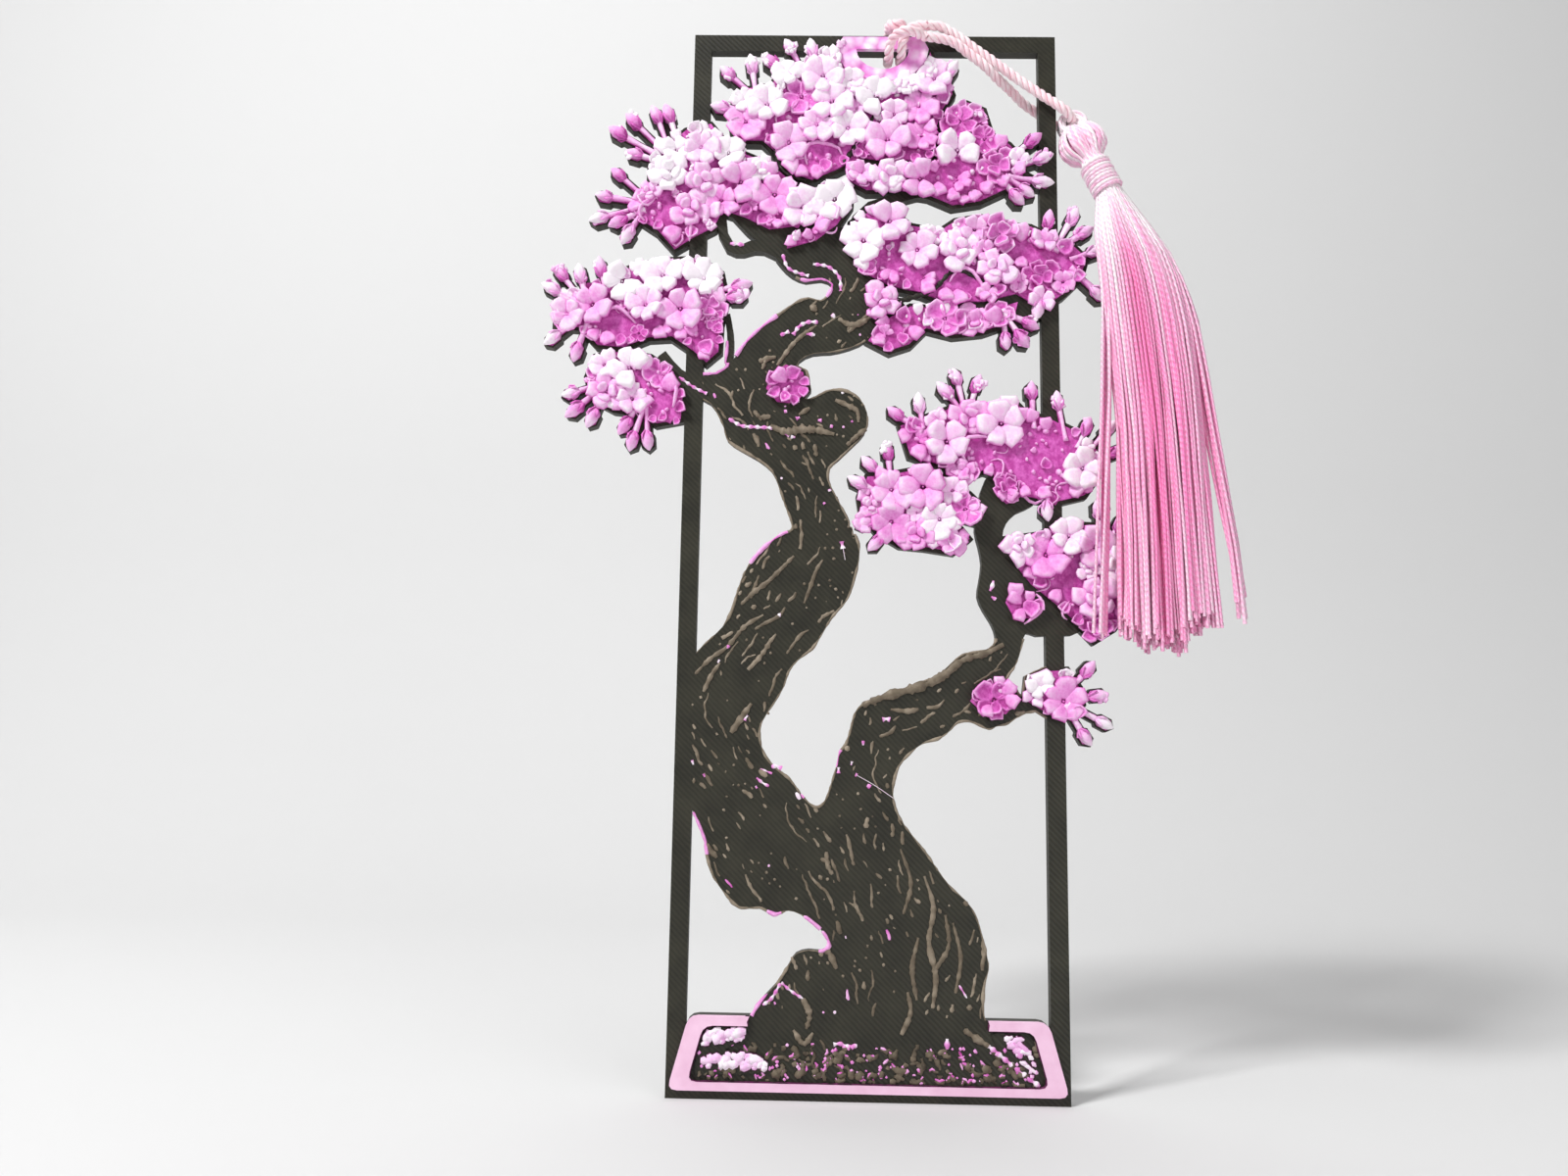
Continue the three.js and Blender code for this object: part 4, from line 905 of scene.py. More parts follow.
def putLobes(seats, name, spots, whole, cells, rng):
    # petals along the outline, pointing outwards and a little past it
    own, step = castTree([name]), bloom["lobeStep"]
    for chain in outlines([name], face, 1, whole):
        line = evenly(chain, step)
        i = rng.randrange(4)
        while i < len(line) - 4:
            gap = rng.uniform(*bloom["lobeGap"])
            here, along = line[i + 2], line[i + 4] - line[i]
            i += round(gap / step)
            out = np.array([-along[1], along[0]]) / (np.hypot(*along) + 1e-9)
            if covers(own, *(here + 0.4 * out)):
                out = -out
            inner = here - out * 1.5
            if not covers(own, *inner) or any(np.hypot(*(spot - inner)) < 2.6 for spot, _ in spots):
                continue
            if besideCord(*(here + out * 0.6)):
                continue
            long = gap * rng.uniform(0.95, 1.25)
            x, z = here + out * (rng.uniform(0.45, 1.1) - long)
            spin = atan2(out[1], out[0]) + rng.uniform(-0.35, 0.35)
            seats.put((x, bloom["seat"] + 0.05 - rng.uniform(0, 0.2), z),
                      facing(spin, rng.uniform(-0.12, 0.12), rng.uniform(-0.12, 0.12)),
                      (long, long * rng.uniform(0.85, 1.15), long * rng.uniform(0.6, 0.95)),
                      rng.choice(kindsOf["petal"]), max(0.3, paintedLightToneAt(x, z, name, cells, rng)))


def fromBranches(name, cells):
    # how far each cell lies from the dark twigs that cross this cluster
    away = np.full(len(cells), 99.0)
    for spots in twigs.get(name, ()):
        for place in evenly(curveThrough(spots), 0.4):
            away = np.minimum(away, np.hypot(*(cells - place).T))
    return away


def flowerFor(reach, tone, rng):
    # full pale flowers above, bare print with loose rims and drops below
    part, large = kindsOf["part"] + kindsOf["petal"], reach > bloom["large"]
    if tone > 0.5:
        return rng.choice(kindsOf["full"] if large else part), reach
    if tone > 0.27:
        return rng.choice(kindsOf["hollow"] + kindsOf["full"] if large else part), reach
    draw = rng.random()
    if draw < 0.30:
        return None, reach
    if draw < 0.62:
        return rng.choice(kindsOf["arc"]), reach * 0.8
    if draw < 0.82:
        return rng.choice(kindsOf["hollow"]), reach * 0.9
    return rng.choice(part), reach * 0.8


def putFlowers(seats, name, cells, clear, rng):
    total, lean = 0, bloom["lean"]
    for x, z, reach in flowerSpots(cells, clear, rng):
        tone = paintedLightToneAt(x, z, name, cells, rng)
        kind, reach = flowerFor(reach, tone, rng)
        if kind is None or besideCord(x, z):
            continue
        tall = rng.uniform(0.85, 1.1) * (1.0 if tone > 0.45 else 0.62)
        seats.put((x, bloom["seat"] - rng.uniform(0, 0.3) * tall, z),
                  facing(rng.uniform(0, tau), rng.uniform(-lean, lean), rng.uniform(-lean, lean)),
                  (reach, reach, reach * tall), kind, tone)
        total += 1
    for (x, z), room in zip(cells, clear):
        if room > 0.8 and rng.random() < bloom["drops"] and not besideCord(x, z):
            size = rng.uniform(0.5, 1.1)
            seats.put((x, bloom["dropSeat"], z), facing(rng.uniform(0, tau)),
                      (size, size * rng.uniform(0.6, 1), 0.9), kindsOf["drop"][0],
                      paintedLightToneAt(x, z, name, cells, rng) * 0.7 + 0.2)
    return total


def makeBlossom():
    rng = random.Random(5)
    total = buds = 0
    whole = castTree(blossomNodes)
    for name in blossomNodes:
        cells, depth = coveredCells(castTree([name]), *flatBox(name), bloom["step"])
        seats = Seats()
        spots = putBuds(seats, name, cells, depth, rng)
        putLobes(seats, name, spots, whole, cells, rng)
        total += putFlowers(seats, name, cells, np.minimum(depth, fromBranches(name, cells)), rng)
        buds += len(spots)
        if name == "crown_blossom":
            for x, z, reach, turn in bloom["ringFlowers"]:
                seats.put((x, bloom["ringSeat"], z), facing(turn, rng.uniform(-0.1, 0.1)),
                          (reach, reach, reach * 0.7), rng.choice(kindsOf["part"][:2]), rng.uniform(0.7, 1.0))
        flowers = seats.grow(name.replace("_blossom", "_flowers"), blossomShelf, petalPink)
        settle(flowers, "bookmark", name)
        bedOf(name, bloom["bed"], name.replace("_blossom", "_bed"), petalPink)
    print("blossom:", total, "flowers and", buds, "buds")


def makeTwigs():
    lines = []
    for spots in (spots for group in twigs.values() for spots in group):
        line = evenly(curveThrough(spots), 0.35)
        radii = [bloom["twig"] * (1 - 0.5 * i / len(line)) * (1 + 0.25 * sin(i * 1.7)) for i in range(len(line))]
        lines.append([(x, bloom["twigSeat"], z, radius, 0, 0) for (x, z), radius in zip(line, radii)])
    printLines("darkTwigs", lines, black)


makeBlossom()
makeTwigs()


# Bark
stemLines = [
    [(-2, 9), (-4, 20), (-9, 32), (-15, 41), (-20, 49), (-19.5, 57), (-13, 65), (-8, 72), (-8, 80), (-11, 87),
     (-15, 93), (-18, 98), (-14, 103), (-9, 106), (-5, 111), (-7, 118)],
    [(6, 9), (8, 20), (2, 32), (-1, 41), (1, 48), (9, 51.5), (15, 54.5), (18.5, 60), (17, 67), (17, 78)]]
bark = {"step": 0.5, "lines": 240, "dots": 120, "flat": 0.55, "stride": 0.35, "room": 0.62,
        "lengths": (0.7, 0.9, 1.2, 1.5, 1.9, 2.4, 3.2, 4.4, 6.5), "from": (-27, 8), "to": (26, 120),
        "rimLevel": -0.78, "hair": 0.045}
trunkNodes = ["trunk_foot", "left_stem", "right_stem", "trunk_head", "trunk_top"]
# the largest ridges, each as its radius and the x and z of its points; the others are grown between them
ridges = [
    (0.26, -9.2, 65.5, -8.4, 67.7, -7.5, 70.3, -6.7, 71.6),
    (0.34, -17.9, 65.2, -16.1, 67, -14.4, 68.3, -12.4, 70.3, -10.7, 72.1), (0.22, -16.6, 66.1, -15.5, 69.3),
    (0.3, -24, 55.5, -21.9, 57.7, -19.7, 59.3, -17.3, 62.2, -14.8, 63.8),
    (0.42, -18.9, 47.6, -17.7, 49.4, -16.2, 51.6), (0.24, -15.9, 61.8, -14.8, 62.5, -12.5, 63.8, -11.8, 64.9),
    (0.2, -11.5, 58.5, -9.5, 61.2, -8.5, 61.8), (0.3, -22.8, 53.1, -21.7, 55.5, -20.6, 57.1),
    (0.6, -1, 51.6, 1.3, 52.6, 5.2, 53.8, 7.7, 54.6, 10.2, 56, 12.7, 58, 15.6, 58.9, 18.2, 60.2),
    (0.38, 2.8, 51.1, 5.2, 50.9, 6.6, 51.2), (0.22, 7.7, 51.4, 9.2, 51.6, 10.1, 52.5),
    (0.26, 1.3, 47.4, 2.8, 48, 3.5, 48.9), (0.4, -7.6, 20.2, -5.4, 19, -4.2, 16.8),
    (0.36, 8.5, 12, 8.9, 16, 8, 20.5, 8.6, 25, 7.4, 29), (0.3, 8.9, 17, 10.6, 20, 10.2, 24),
    (0.3, 6.4, 13, 5.8, 17, 6.6, 21), (0.26, 11.5, 14, 12.2, 18.5, 11.2, 23),
    (0.28, 4.6, 24, 5.6, 28, 4.2, 32.5), (0.34, -3.5, 88, -0.5, 90.4, 2, 90),
    (0.3, -13.5, 99.5, -11, 103, -8, 105.5), (0.34, -3.5, 104.5, -0.8, 107, 1.8, 110)]


def pointsOf(numbers):
    # the (x, z) points of a flat row of numbers
    return list(zip(numbers[::2], numbers[1::2]))


def onward(x, z, angle, step):
    # the place one step further in this direction
    return x + step * cos(angle), z + step * sin(angle)


def flowAt(x, z):
    # the direction of the stem's own line nearest to this place, and the side it lies on
    best, angle, side = 1e9, 0.0, 1
    for line in stemLines:
        for (ax, az), (bx, bz) in zip(line, line[1:]):
            dx, dz = bx - ax, bz - az
            t = max(0, min(1, ((x - ax) * dx + (z - az) * dz) / (dx * dx + dz * dz)))
            away = hypot(x - ax - t * dx, z - az - t * dz)
            if away < best:
                best, angle = away, atan2(dz, dx)
                side = 1 if (x - ax) * dz - (z - az) * dx > 0 else -1
    return angle, side


def lumpy(line, radius, tone, rng, rim=0.55, level=face):
    # gives a flat line of (x, z) its thickness: thin ends and uneven sides
    phase = rng.uniform(0, 9)
    rows = []
    for i, (x, z) in enumerate(line):
        t = i / max(1, len(line) - 1)
        swell = 0.5 + 0.5 * sin(pi * min(1, t * 1.04 + 0.02)) ** 0.5
        rows.append((x, level, z, radius * swell * (1 + 0.75 * wave(i * 0.7, phase, 0)), tone,
                     rim + 0.5 * wave(i * 0.4, phase, 5)))
    return rows


class Ground:
    # the part of the trunk that ridges may lie on, and what lies there already
    def __init__(self):
        self.cells, self.depths = coveredCells(castTree(trunkNodes), bark["from"], bark["to"], bark["step"])
        self.taken = {}
        self.grid = {self.key(*c, bark["step"]): d for c, d in zip(self.cells, self.depths)}

    def key(self, x, z, step):
        return round(x / step), round(z / step)

    def depth(self, x, z):
        return self.grid.get(self.key(x, z, bark["step"]), 0.0)

    def free(self, x, z, room):
        i, k = self.key(x, z, 1.0)
        near = (p for a in (i - 1, i, i + 1) for b in (k - 1, k, k + 1) for p in self.taken.get((a, b), ()))
        return all(hypot(x - a, z - b) > room for a, b in near)

    def take(self, points):
        for x, z in points:
            self.taken.setdefault(self.key(x, z, 1.0), []).append((x, z))

    def walk(self, x, z, length, rng):
        # a winding line that follows the stem until it meets another or leaves the trunk
        line = []
        angle = flowAt(x, z)[0] + rng.gauss(0, 0.2)
        for _ in range(int(length / bark["stride"]) + 1):
            if self.depth(x, z) < 0.5 or not self.free(x, z, bark["room"]):
                break
            line.append((x, z))
            angle += 0.3 * sin(flowAt(x, z)[0] - angle) + rng.gauss(0, 0.2)
            x, z = onward(x, z, angle, bark["stride"])
        return line


def makeBark():
    rng = random.Random(21)
    ground = Ground()
    brown, rosy = [], []
    for radius, *numbers in ridges:
        line = evenly(curveThrough(pointsOf(numbers)), bark["stride"])
        line = [(x, z) for x, z in line if ground.depth(x, z) > 0.3]
        brown.append(lumpy(line, radius * 1.15, rng.uniform(0.1, 0.5), rng))
        ground.take(line)
    order = list(range(len(ground.cells)))
    rng.shuffle(order)
    lines = dots = 0
    for i in order:
        x, z = ground.cells[i] + np.array([rng.uniform(-0.25, 0.25), rng.uniform(-0.25, 0.25)])
        side = flowAt(x, z)[1]
        crowd = wave(x * 0.14, 8.0, z * 0.14) + (0.22 * side if z < 42 else -0.16 * side)
        crowd += 0.25 * (ground.depths[i] < 2.2)
        if lines < bark["lines"] and crowd + rng.uniform(-0.45, 0.45) > -0.02:
            line = ground.walk(x, z, rng.choice(bark["lengths"]), rng)
            if len(line) > 1:
                target = rosy if rng.random() < 0.05 and len(line) < 7 else brown
                radius = rng.uniform(0.13, 0.24) if rng.random() < 0.7 else rng.uniform(0.24, 0.38)
                target.append(lumpy(line, radius, rng.random(), rng))
                if len(line) > 8 and rng.random() < 0.4:
                    fork = line[len(line) // 2]
                    angle = flowAt(*fork)[0] + rng.choice((-0.7, 0.7))
                    spur = [onward(*fork, angle, bark["stride"] * k) for k in range(4)]
                    brown.append(lumpy(spur, radius * 0.9, 0.4, rng))
                    ground.take(spur)
                ground.take(line)
                lines += 1
        elif dots < bark["dots"] and ground.depths[i] > 0.4 and ground.free(x, z, 0.6):
            angle = rng.uniform(0, tau)
            size = rng.uniform(0.12, 0.24)
            dot = [onward(x, z, angle, d) for d in (-0.8 * size, 0, 0.8 * size)]
            (rosy if rng.random() < 0.13 else brown).append(lumpy(dot, size, rng.random(), rng))
            ground.take(dot)
            dots += 1
    printLines("barkRidges", brown, fleckBrown, flat=bark["flat"])
    printLines("rosyRidges", rosy, petalPink, flat=bark["flat"])
    print("bark:", lines, "ridges and", dots, "dots")


makeBark()

rosyEdges = [(-23.4, 36.5, 2.4), (-22, 32.6, 1.6), (-12.3, 24.2, 1.0), (-7.4, 22.4, 1.4), (-5.4, 20, 1.6),
             (-14.4, 11.2, 2.4), (-14, 73.4, 3.4), (-25.3, 49.9, 0.9), (-4.3, 44.6, 1.2), (-9.6, 38.6, 1.0),
             (-17, 104, 4.6), (-22, 99, 3), (-8, 112, 2.6)]


def makeRimLines():
    brown, rosy = [], []
    for chain in outlines(trunkNodes, face, -1, castTree(blackNodes)):
        run, isRosy = [], False
        for x, z in evenly(chain, bark["stride"]):
            pinkHere = any(hypot(x - a, z - b) < r for a, b, r in rosyEdges)
            if run and pinkHere != isRosy:
                (rosy if isRosy else brown).append(run)
                run = [run[-1]]
            isRosy = pinkHere
            swell = wave(x * 0.35, 1, z * 0.35) + 0.5 * wave(x * 1.3, 5, z * 1.3)
            radius = max(0.04, (0.22 if isRosy else 0.13) + 0.24 * swell)
            run.append((x, bark["rimLevel"], z, radius, 0.45 if isRosy else 0.6, 0.5 + 0.5 * swell))
        (rosy if isRosy else brown).append(run)
    printLines("barkRims", [line for line in brown if len(line) > 2], fleckBrown, 5)
    printLines("rosyRims", [line for line in rosy if len(line) > 2], petalPink, 5)


makeRimLines()

# pink beads and veins that run over the print, and brown lumps, as the ridges are
rosyChains = [
    (0.34, -20.2, 91.6, -18.4, 90.6, -16, 90.4, -13.4, 90.2, -11.6, 89.2),
    (0.32, -13, 116, -12.2, 114, -10.6, 113.2, -9.2, 112.8),
    (0.32, -8.6, 114.6, -6.4, 114.2, -4.8, 112.6, -4.6, 110.6), (0.36, -20.6, 117.6, -18.6, 117.4),
    (0.3, -27.4, 97.6, -25.4, 96.2, -23.4, 95.2), (0.34, -4.5, 7.2, -3.6, 7.3, -2.8, 7, -1.4, 7.1),
    (0.42, 10.4, 8.2, 10.4, 6.9), (0.3, -13.9, 12, -12.8, 12.8, -11.6, 14.8),
    (0.26, -11.5, 14.9, -10.1, 13.8, -8.6, 12.9), (0.2, -8.6, 12.9, -7.8, 11.6), (0.18, 12, 15, 13, 13.4),
    (0.38, -13.3, 43.1, -12.6, 43.2, -11.9, 42.9), (0.26, -15.3, 41.6, -14.4, 40.9, -13.6, 40.5),
    (0.2, -14.8, 42.8, -13.2, 42.2), (0.3, -15.4, 40.5, -15.2, 40.2), (0.3, -12.8, 63.8, -12.4, 63.8),
    (0.26, -19.8, 59.1, -19.4, 59.5), (0.26, -20.9, 57.1, -20.7, 57.5), (0.22, -24.1, 43.8, -23.9, 43.2),
    (0.26, -22.5, 42, -22.3, 41.6), (0.3, -17.1, 49.3, -16.7, 50), (0.4, 1.7, 49.7, 2.2, 49.8, 2.7, 49.7),
    (0.3, -4.2, 42.4, -4.2, 43.2), (0.22, -2.5, 43.5, -2.4, 44), (0.22, -0.9, 46.2, -0.9, 46.8),
    (0.26, -1.9, 42, -1.7, 42.4), (0.36, -0.3, 40.9, 0.1, 40.6), (0.42, -4.1, 74.2, -3.9, 73.2),
    (0.36, 16.9, 69, 16.7, 68.2, 16.4, 67.6), (0.3, 16.6, 66.8, 17.2, 66.4),
    (0.34, -13.1, 103.9, -11.9, 104.5), (0.36, -11.3, 104, -10.4, 105.3, -9.2, 105.9, -7.8, 105.9),
    (0.36, -9.4, 104.2, -8.2, 104), (0.3, -10.9, 94.2, -10.3, 94.2), (0.36, -10.7, 91.7, -10.2, 91.9),
    (0.32, -7.6, 91.5, -7.1, 91.5), (0.28, -5.9, 90.7, -5.5, 90.6), (0.3, -2.9, 91.5, -2.7, 91.3),
    (0.32, -11.4, 89.1, -10.8, 89), (0.28, -12.4, 92.7, -12, 92.8), (0.36, -5.8, 107.1, -5.4, 106.6),
    (0.27, -5.9, 81.6, -5.8, 81.3), (0.26, -6.7, 79.7, -6.5, 79.5)]
roots = [
    (0.48, 12.6, 9.4, 14.4, 8.2, 16, 7.3), (0.42, -8.6, 12.9, -7.7, 10.9, -8.1, 9.1),
    (0.36, -9.8, 8.9, -8.4, 7.2, -7.2, 8.6), (0.36, 4.4, 8.6, 5.6, 11.5, 5.2, 14),
    (0.6, -14.3, 90.6, -12.2, 89.8, -10, 90.1, -7.9, 90.1, -5.3, 89.5), (0.45, -10.3, 92.3, -8.8, 93.3),
    (0.4, -5.2, 94.5, -3.4, 93.7, -2.1, 92.9, -1.9, 91.3), (0.4, -16.1, 100, -15.1, 100.4, -13.7, 100.7),
    (0.32, -15.1, 100.4, -15.6, 98.9), (0.42, -4.9, 106.5, -3.3, 105.6, -1.7, 105.8, -0.3, 106.8),
    (0.34, -3.3, 105.6, -3.5, 104.7), (0.45, -8.9, 108.4, -8, 107.6),
    (0.4, -16.7, 92.8, -15.8, 91.9, -14.3, 92)]
hairs = [[(-1.8, 42.2), (0.6, 40.9), (3.2, 39.2)], [(-3.9, 73.2), (-3.6, 71.6)]]


def makeChains():
    rng = random.Random(17)

    def beaded(spots, radius, level):
        return [(x, level, z, radius * (0.72 + 0.28 * sin(i * 1.1 + x)), 0.55 + 0.4 * sin(i * 0.8 + z), 0.6)
                for i, (x, z) in enumerate(evenly(curveThrough(spots), 0.2))]

    rosy = [beaded(pointsOf(numbers), radius, face) for radius, *numbers in rosyChains]
    rosy.append(beaded([(15.8, 7.4), (19.1, 4.9), (22.4, 2.5)], 0.44, face - 0.1))
    for spots in hairs:
        rosy.append([(x, face - 0.35, z, bark["hair"], 0.8, 0.8) for x, z in evenly(curveThrough(spots), 0.5)])
    brown = [lumpy(evenly(curveThrough(pointsOf(numbers)), 0.3), radius, 0.5, rng) for radius, *numbers in roots]
    printLines("roots", brown, fleckBrown, flat=0.8)
    printLines("rosyBeads", rosy, petalPink, flat=0.8)


makeChains()


# Pot
pot = {"left": -22.2, "right": 22, "low": 2.5, "high": 7.0, "lumps": 170, "beads": 84, "edge": 0.17,
       "edgeLevel": -1.25, "rimLevel": -1.5, "mossLevel": -1.02, "mossEdge": 0.13, "mossBed": 0.22,
       "soilStride": 0.42, "mossStride": 0.4, "mossRise": 0.08, "flat": 0.8, "gapRoom": 0.62,
       "moss_left": {"share": 0.30, "angle": 0.5, "above": 4.0, "thick": (0.4, 0.75),
                     "gaps": [(-22.6, 6.0), (-18.3, 6.5), (-13, 7.8)]},
       "moss_right": {"share": 0.16, "angle": -0.75, "above": 3.0, "thick": (0.28, 0.55),
                      "gaps": [(14, 10.2), (17.6, 7.2), (21, 3.0)]}}


def soilSpot(rng, power):
    # a place in the pot, more often low than high
    x = rng.uniform(pot["left"], pot["right"])
    return x, pot["low"] + (pot["high"] - pot["low"]) * rng.random() ** power


def makeSoil():
    rng = random.Random(8)
    tree, moss = castTree(["pot_base", "trunk_foot"]), castTree(["moss_left", "moss_right"])
    brown, rosy, count = [], [], 0
    while count < pot["lumps"]:
        x, z = soilSpot(rng, 1.4)
        onMoss = covers(moss, x, z)
        if onMoss and (x > 0 or z > pot["moss_left"]["above"]):
            continue
        count += 1
        level = pot["mossLevel"] if onMoss else face
        angle = rng.gauss(0, 0.7)
        line = []
        for _ in range(rng.choice((2, 3, 3, 4, 5, 7))):
            if covers(tree, x, z) and z > pot["low"] - 0.1:
                line.append((x, z))
            angle += rng.gauss(0, 0.75)
            x, z = onward(x, z, angle, pot["soilStride"])
        if len(line) > 1:
            brown.append(lumpy(line, rng.uniform(0.22, 0.52), rng.uniform(0, 0.45), rng, 0.3, level))
            if rng.random() < 0.45:
                above = [(a, b + 0.2) for a, b in line[:3]]
                rosy.append(lumpy(above, 0.17, rng.uniform(0.1, 0.7), rng, 0.3, level - 0.12))
    for _ in range(pot["beads"]):
        x, z = soilSpot(rng, 1.2)
        level = (pot["mossLevel"] if covers(moss, x, z) else face) - 0.08
        size = rng.uniform(0.15, 0.30)
        bead = [(x - size * 0.7, z), (x, z + 0.1), (x + size * 0.7, z)]
        rosy.append(lumpy(bead, size, rng.uniform(0, 0.6), rng, level=level))
    return brown, rosy


def potEdges():
    # the dark line along the inner edge of the pot's rim
    rimTree = castTree(["pot_rim"])
    runs = []
    for chain in outlines(["pot_rim"], pot["rimLevel"], -1, rimTree):
        runs.append([])
        for x, z in evenly(chain, 0.4):
            inward = Vector((-x, 6 - z)).normalized() * 0.5
            if covers(rimTree, x + inward.x, z + inward.y):
                runs.append([])
            else:
                radius = pot["edge"] * (1 + 0.7 * wave(x * 0.5, 2, z * 0.5))
                runs[-1].append((x, pot["edgeLevel"], z, radius, 0.0, 0.0))
    return [run for run in runs if len(run) > 2]


def mossStreaks(name, rng):
    # pale streaks, each on a wider dark one, with a bare gap along one line
    form, mossTree = pot[name], castTree([name])
    cells, depth = coveredCells(mossTree, *flatBox(name), 0.4)
    gap = evenly(form["gaps"], 0.3)
    pale, dark = [], []
    for _ in range(int(len(cells) * form["share"])):
        i = rng.randrange(len(cells))
        x, z = cells[i]
        angle = rng.gauss(form["angle"] * (1 if z > 6 or x > 0 else 0.2), 0.3)
        tone = 0.80 + 0.35 * wave(x * 0.4, 6, z * 0.4) + rng.uniform(-0.1, 0.12)
        line = []
        for _ in range(rng.choice((4, 5, 6, 7, 8))):
            away = np.hypot(gap[:, 0] - x, gap[:, 1] - z).min()
            if away > pot["gapRoom"] and z > form["above"] and covers(mossTree, x, z):
                line.append((x, z))
            angle += rng.gauss(0, 0.25)
            x, z = onward(x, z, angle, pot["mossStride"])
        if len(line) > 1:
            radius = rng.uniform(*form["thick"]) * min(1.0, 0.45 + 0.55 * depth[i])
            rows = lumpy(line, radius, tone, rng, 0.45, pot["mossLevel"])
            pale.append([(a, y - pot["mossRise"], *rest) for a, y, *rest in rows])
            dark.append([(a, y, b, r + pot["mossEdge"], *rest) for a, y, b, r, *rest in rows])
    return pale, dark


def makePot():
    rng = random.Random(12)
    brown, rosy = makeSoil()
    for name, lines, material in (("soilLumps", brown, fleckBrown), ("soilBeads", rosy, petalPink),
                                  ("potEdge", potEdges(), plumEdge)):
        printLines(name, lines, material, flat=pot["flat"])
    for name in ("moss_left", "moss_right"):
        pale, dark = mossStreaks(name, rng)
        printLines(name + "Streaks", pale, petalPink, 6, 0.62, pot["mossLevel"], name)
        printLines(name + "Edges", dark, plumEdge, 6, 0.35, pot["mossLevel"])
        bedOf(name, pot["mossBed"], name + "_bed", black)
    print("pot:", len(brown), "lumps of soil and", len(rosy), "beads")


makePot()


# Tassel
def makeSilk():
    f = Finish("tasselSilk")
    tone, rim, fibre = f.attribute("tone"), f.attribute("rim"), f.noise(0.25, 3, 0.6)
    twistShade = ((f.z + f.x * 0.8) * (tau / (0.85 * mm)) + rim * 6.0).sine()
    # painted shade and highlight: the colour goes paler and deeper along each thread's twist, as the bump does
    value = (tone + (fibre - 0.5) * 0.25 + twistShade * 0.09).clamped()
    colour = f.ramp(value, [(0.0, (0.95, 0.23, 0.52)), (0.25, (0.96, 0.35, 0.62)), (0.5, (0.97, 0.49, 0.71)),
                            (0.75, (0.98, 0.67, 0.82)), (1.0, (0.99, 0.92, 0.95))])
    return f.shade(colour, 0.42, f.bump(twistShade, 0.06, 0.8, f.bump(fibre, 0.03, 0.5)), 0.3, (0.3, 0.4))


silk = makeSilk()
tassel = {"tilt": 22, "lean": 10, "eyeRoom": 0.45, "head": 6.9, "neck": 5.2, "lobe": 1.75, "lobeShift": 1.35,
          "deep": 2.3, "shoulder": 1.9, "threads": 46, "steps": 16, "loops": 11, "neckReach": 1.6,
          "start": 0.7, "core": (2.2, 1.75), "coreTone": 0.12}
binding = {"turns": 9, "perTurn": 28, "pitch": 0.55, "radius": 1.98, "thread": 0.26, "below": 0.25}
leanRadians, tiltRadians = radians(tassel["lean"]), radians(tassel["tilt"])
axis = Vector((sin(tiltRadians), -sin(leanRadians) * cos(tiltRadians), -cos(leanRadians) * cos(tiltRadians)))
sideways = Vector((-axis.z, 0, axis.x)).normalized()
forward = axis.cross(sideways)
if forward.y > 0:
    forward = -forward
neckStart = tassel["eyeRoom"] + tassel["head"]


def onTassel(along, across, ahead):
    return eye + axis * along + sideways * across + forward * ahead


def headOutline(angle, lobe, shift, deep):
    # how far the two-lobed outline reaches in this direction
    c, s = cos(angle), sin(angle)
    far, a = 0.0, (c / lobe) ** 2 + (s / deep) ** 2
    for middle in (-shift, shift):
        b = -2 * c * middle / lobe ** 2
        d = b * b - 4 * a * ((middle / lobe) ** 2 - 1)
        if d > 0:
            far = max(far, (-b + sqrt(d)) / (2 * a))
    return far


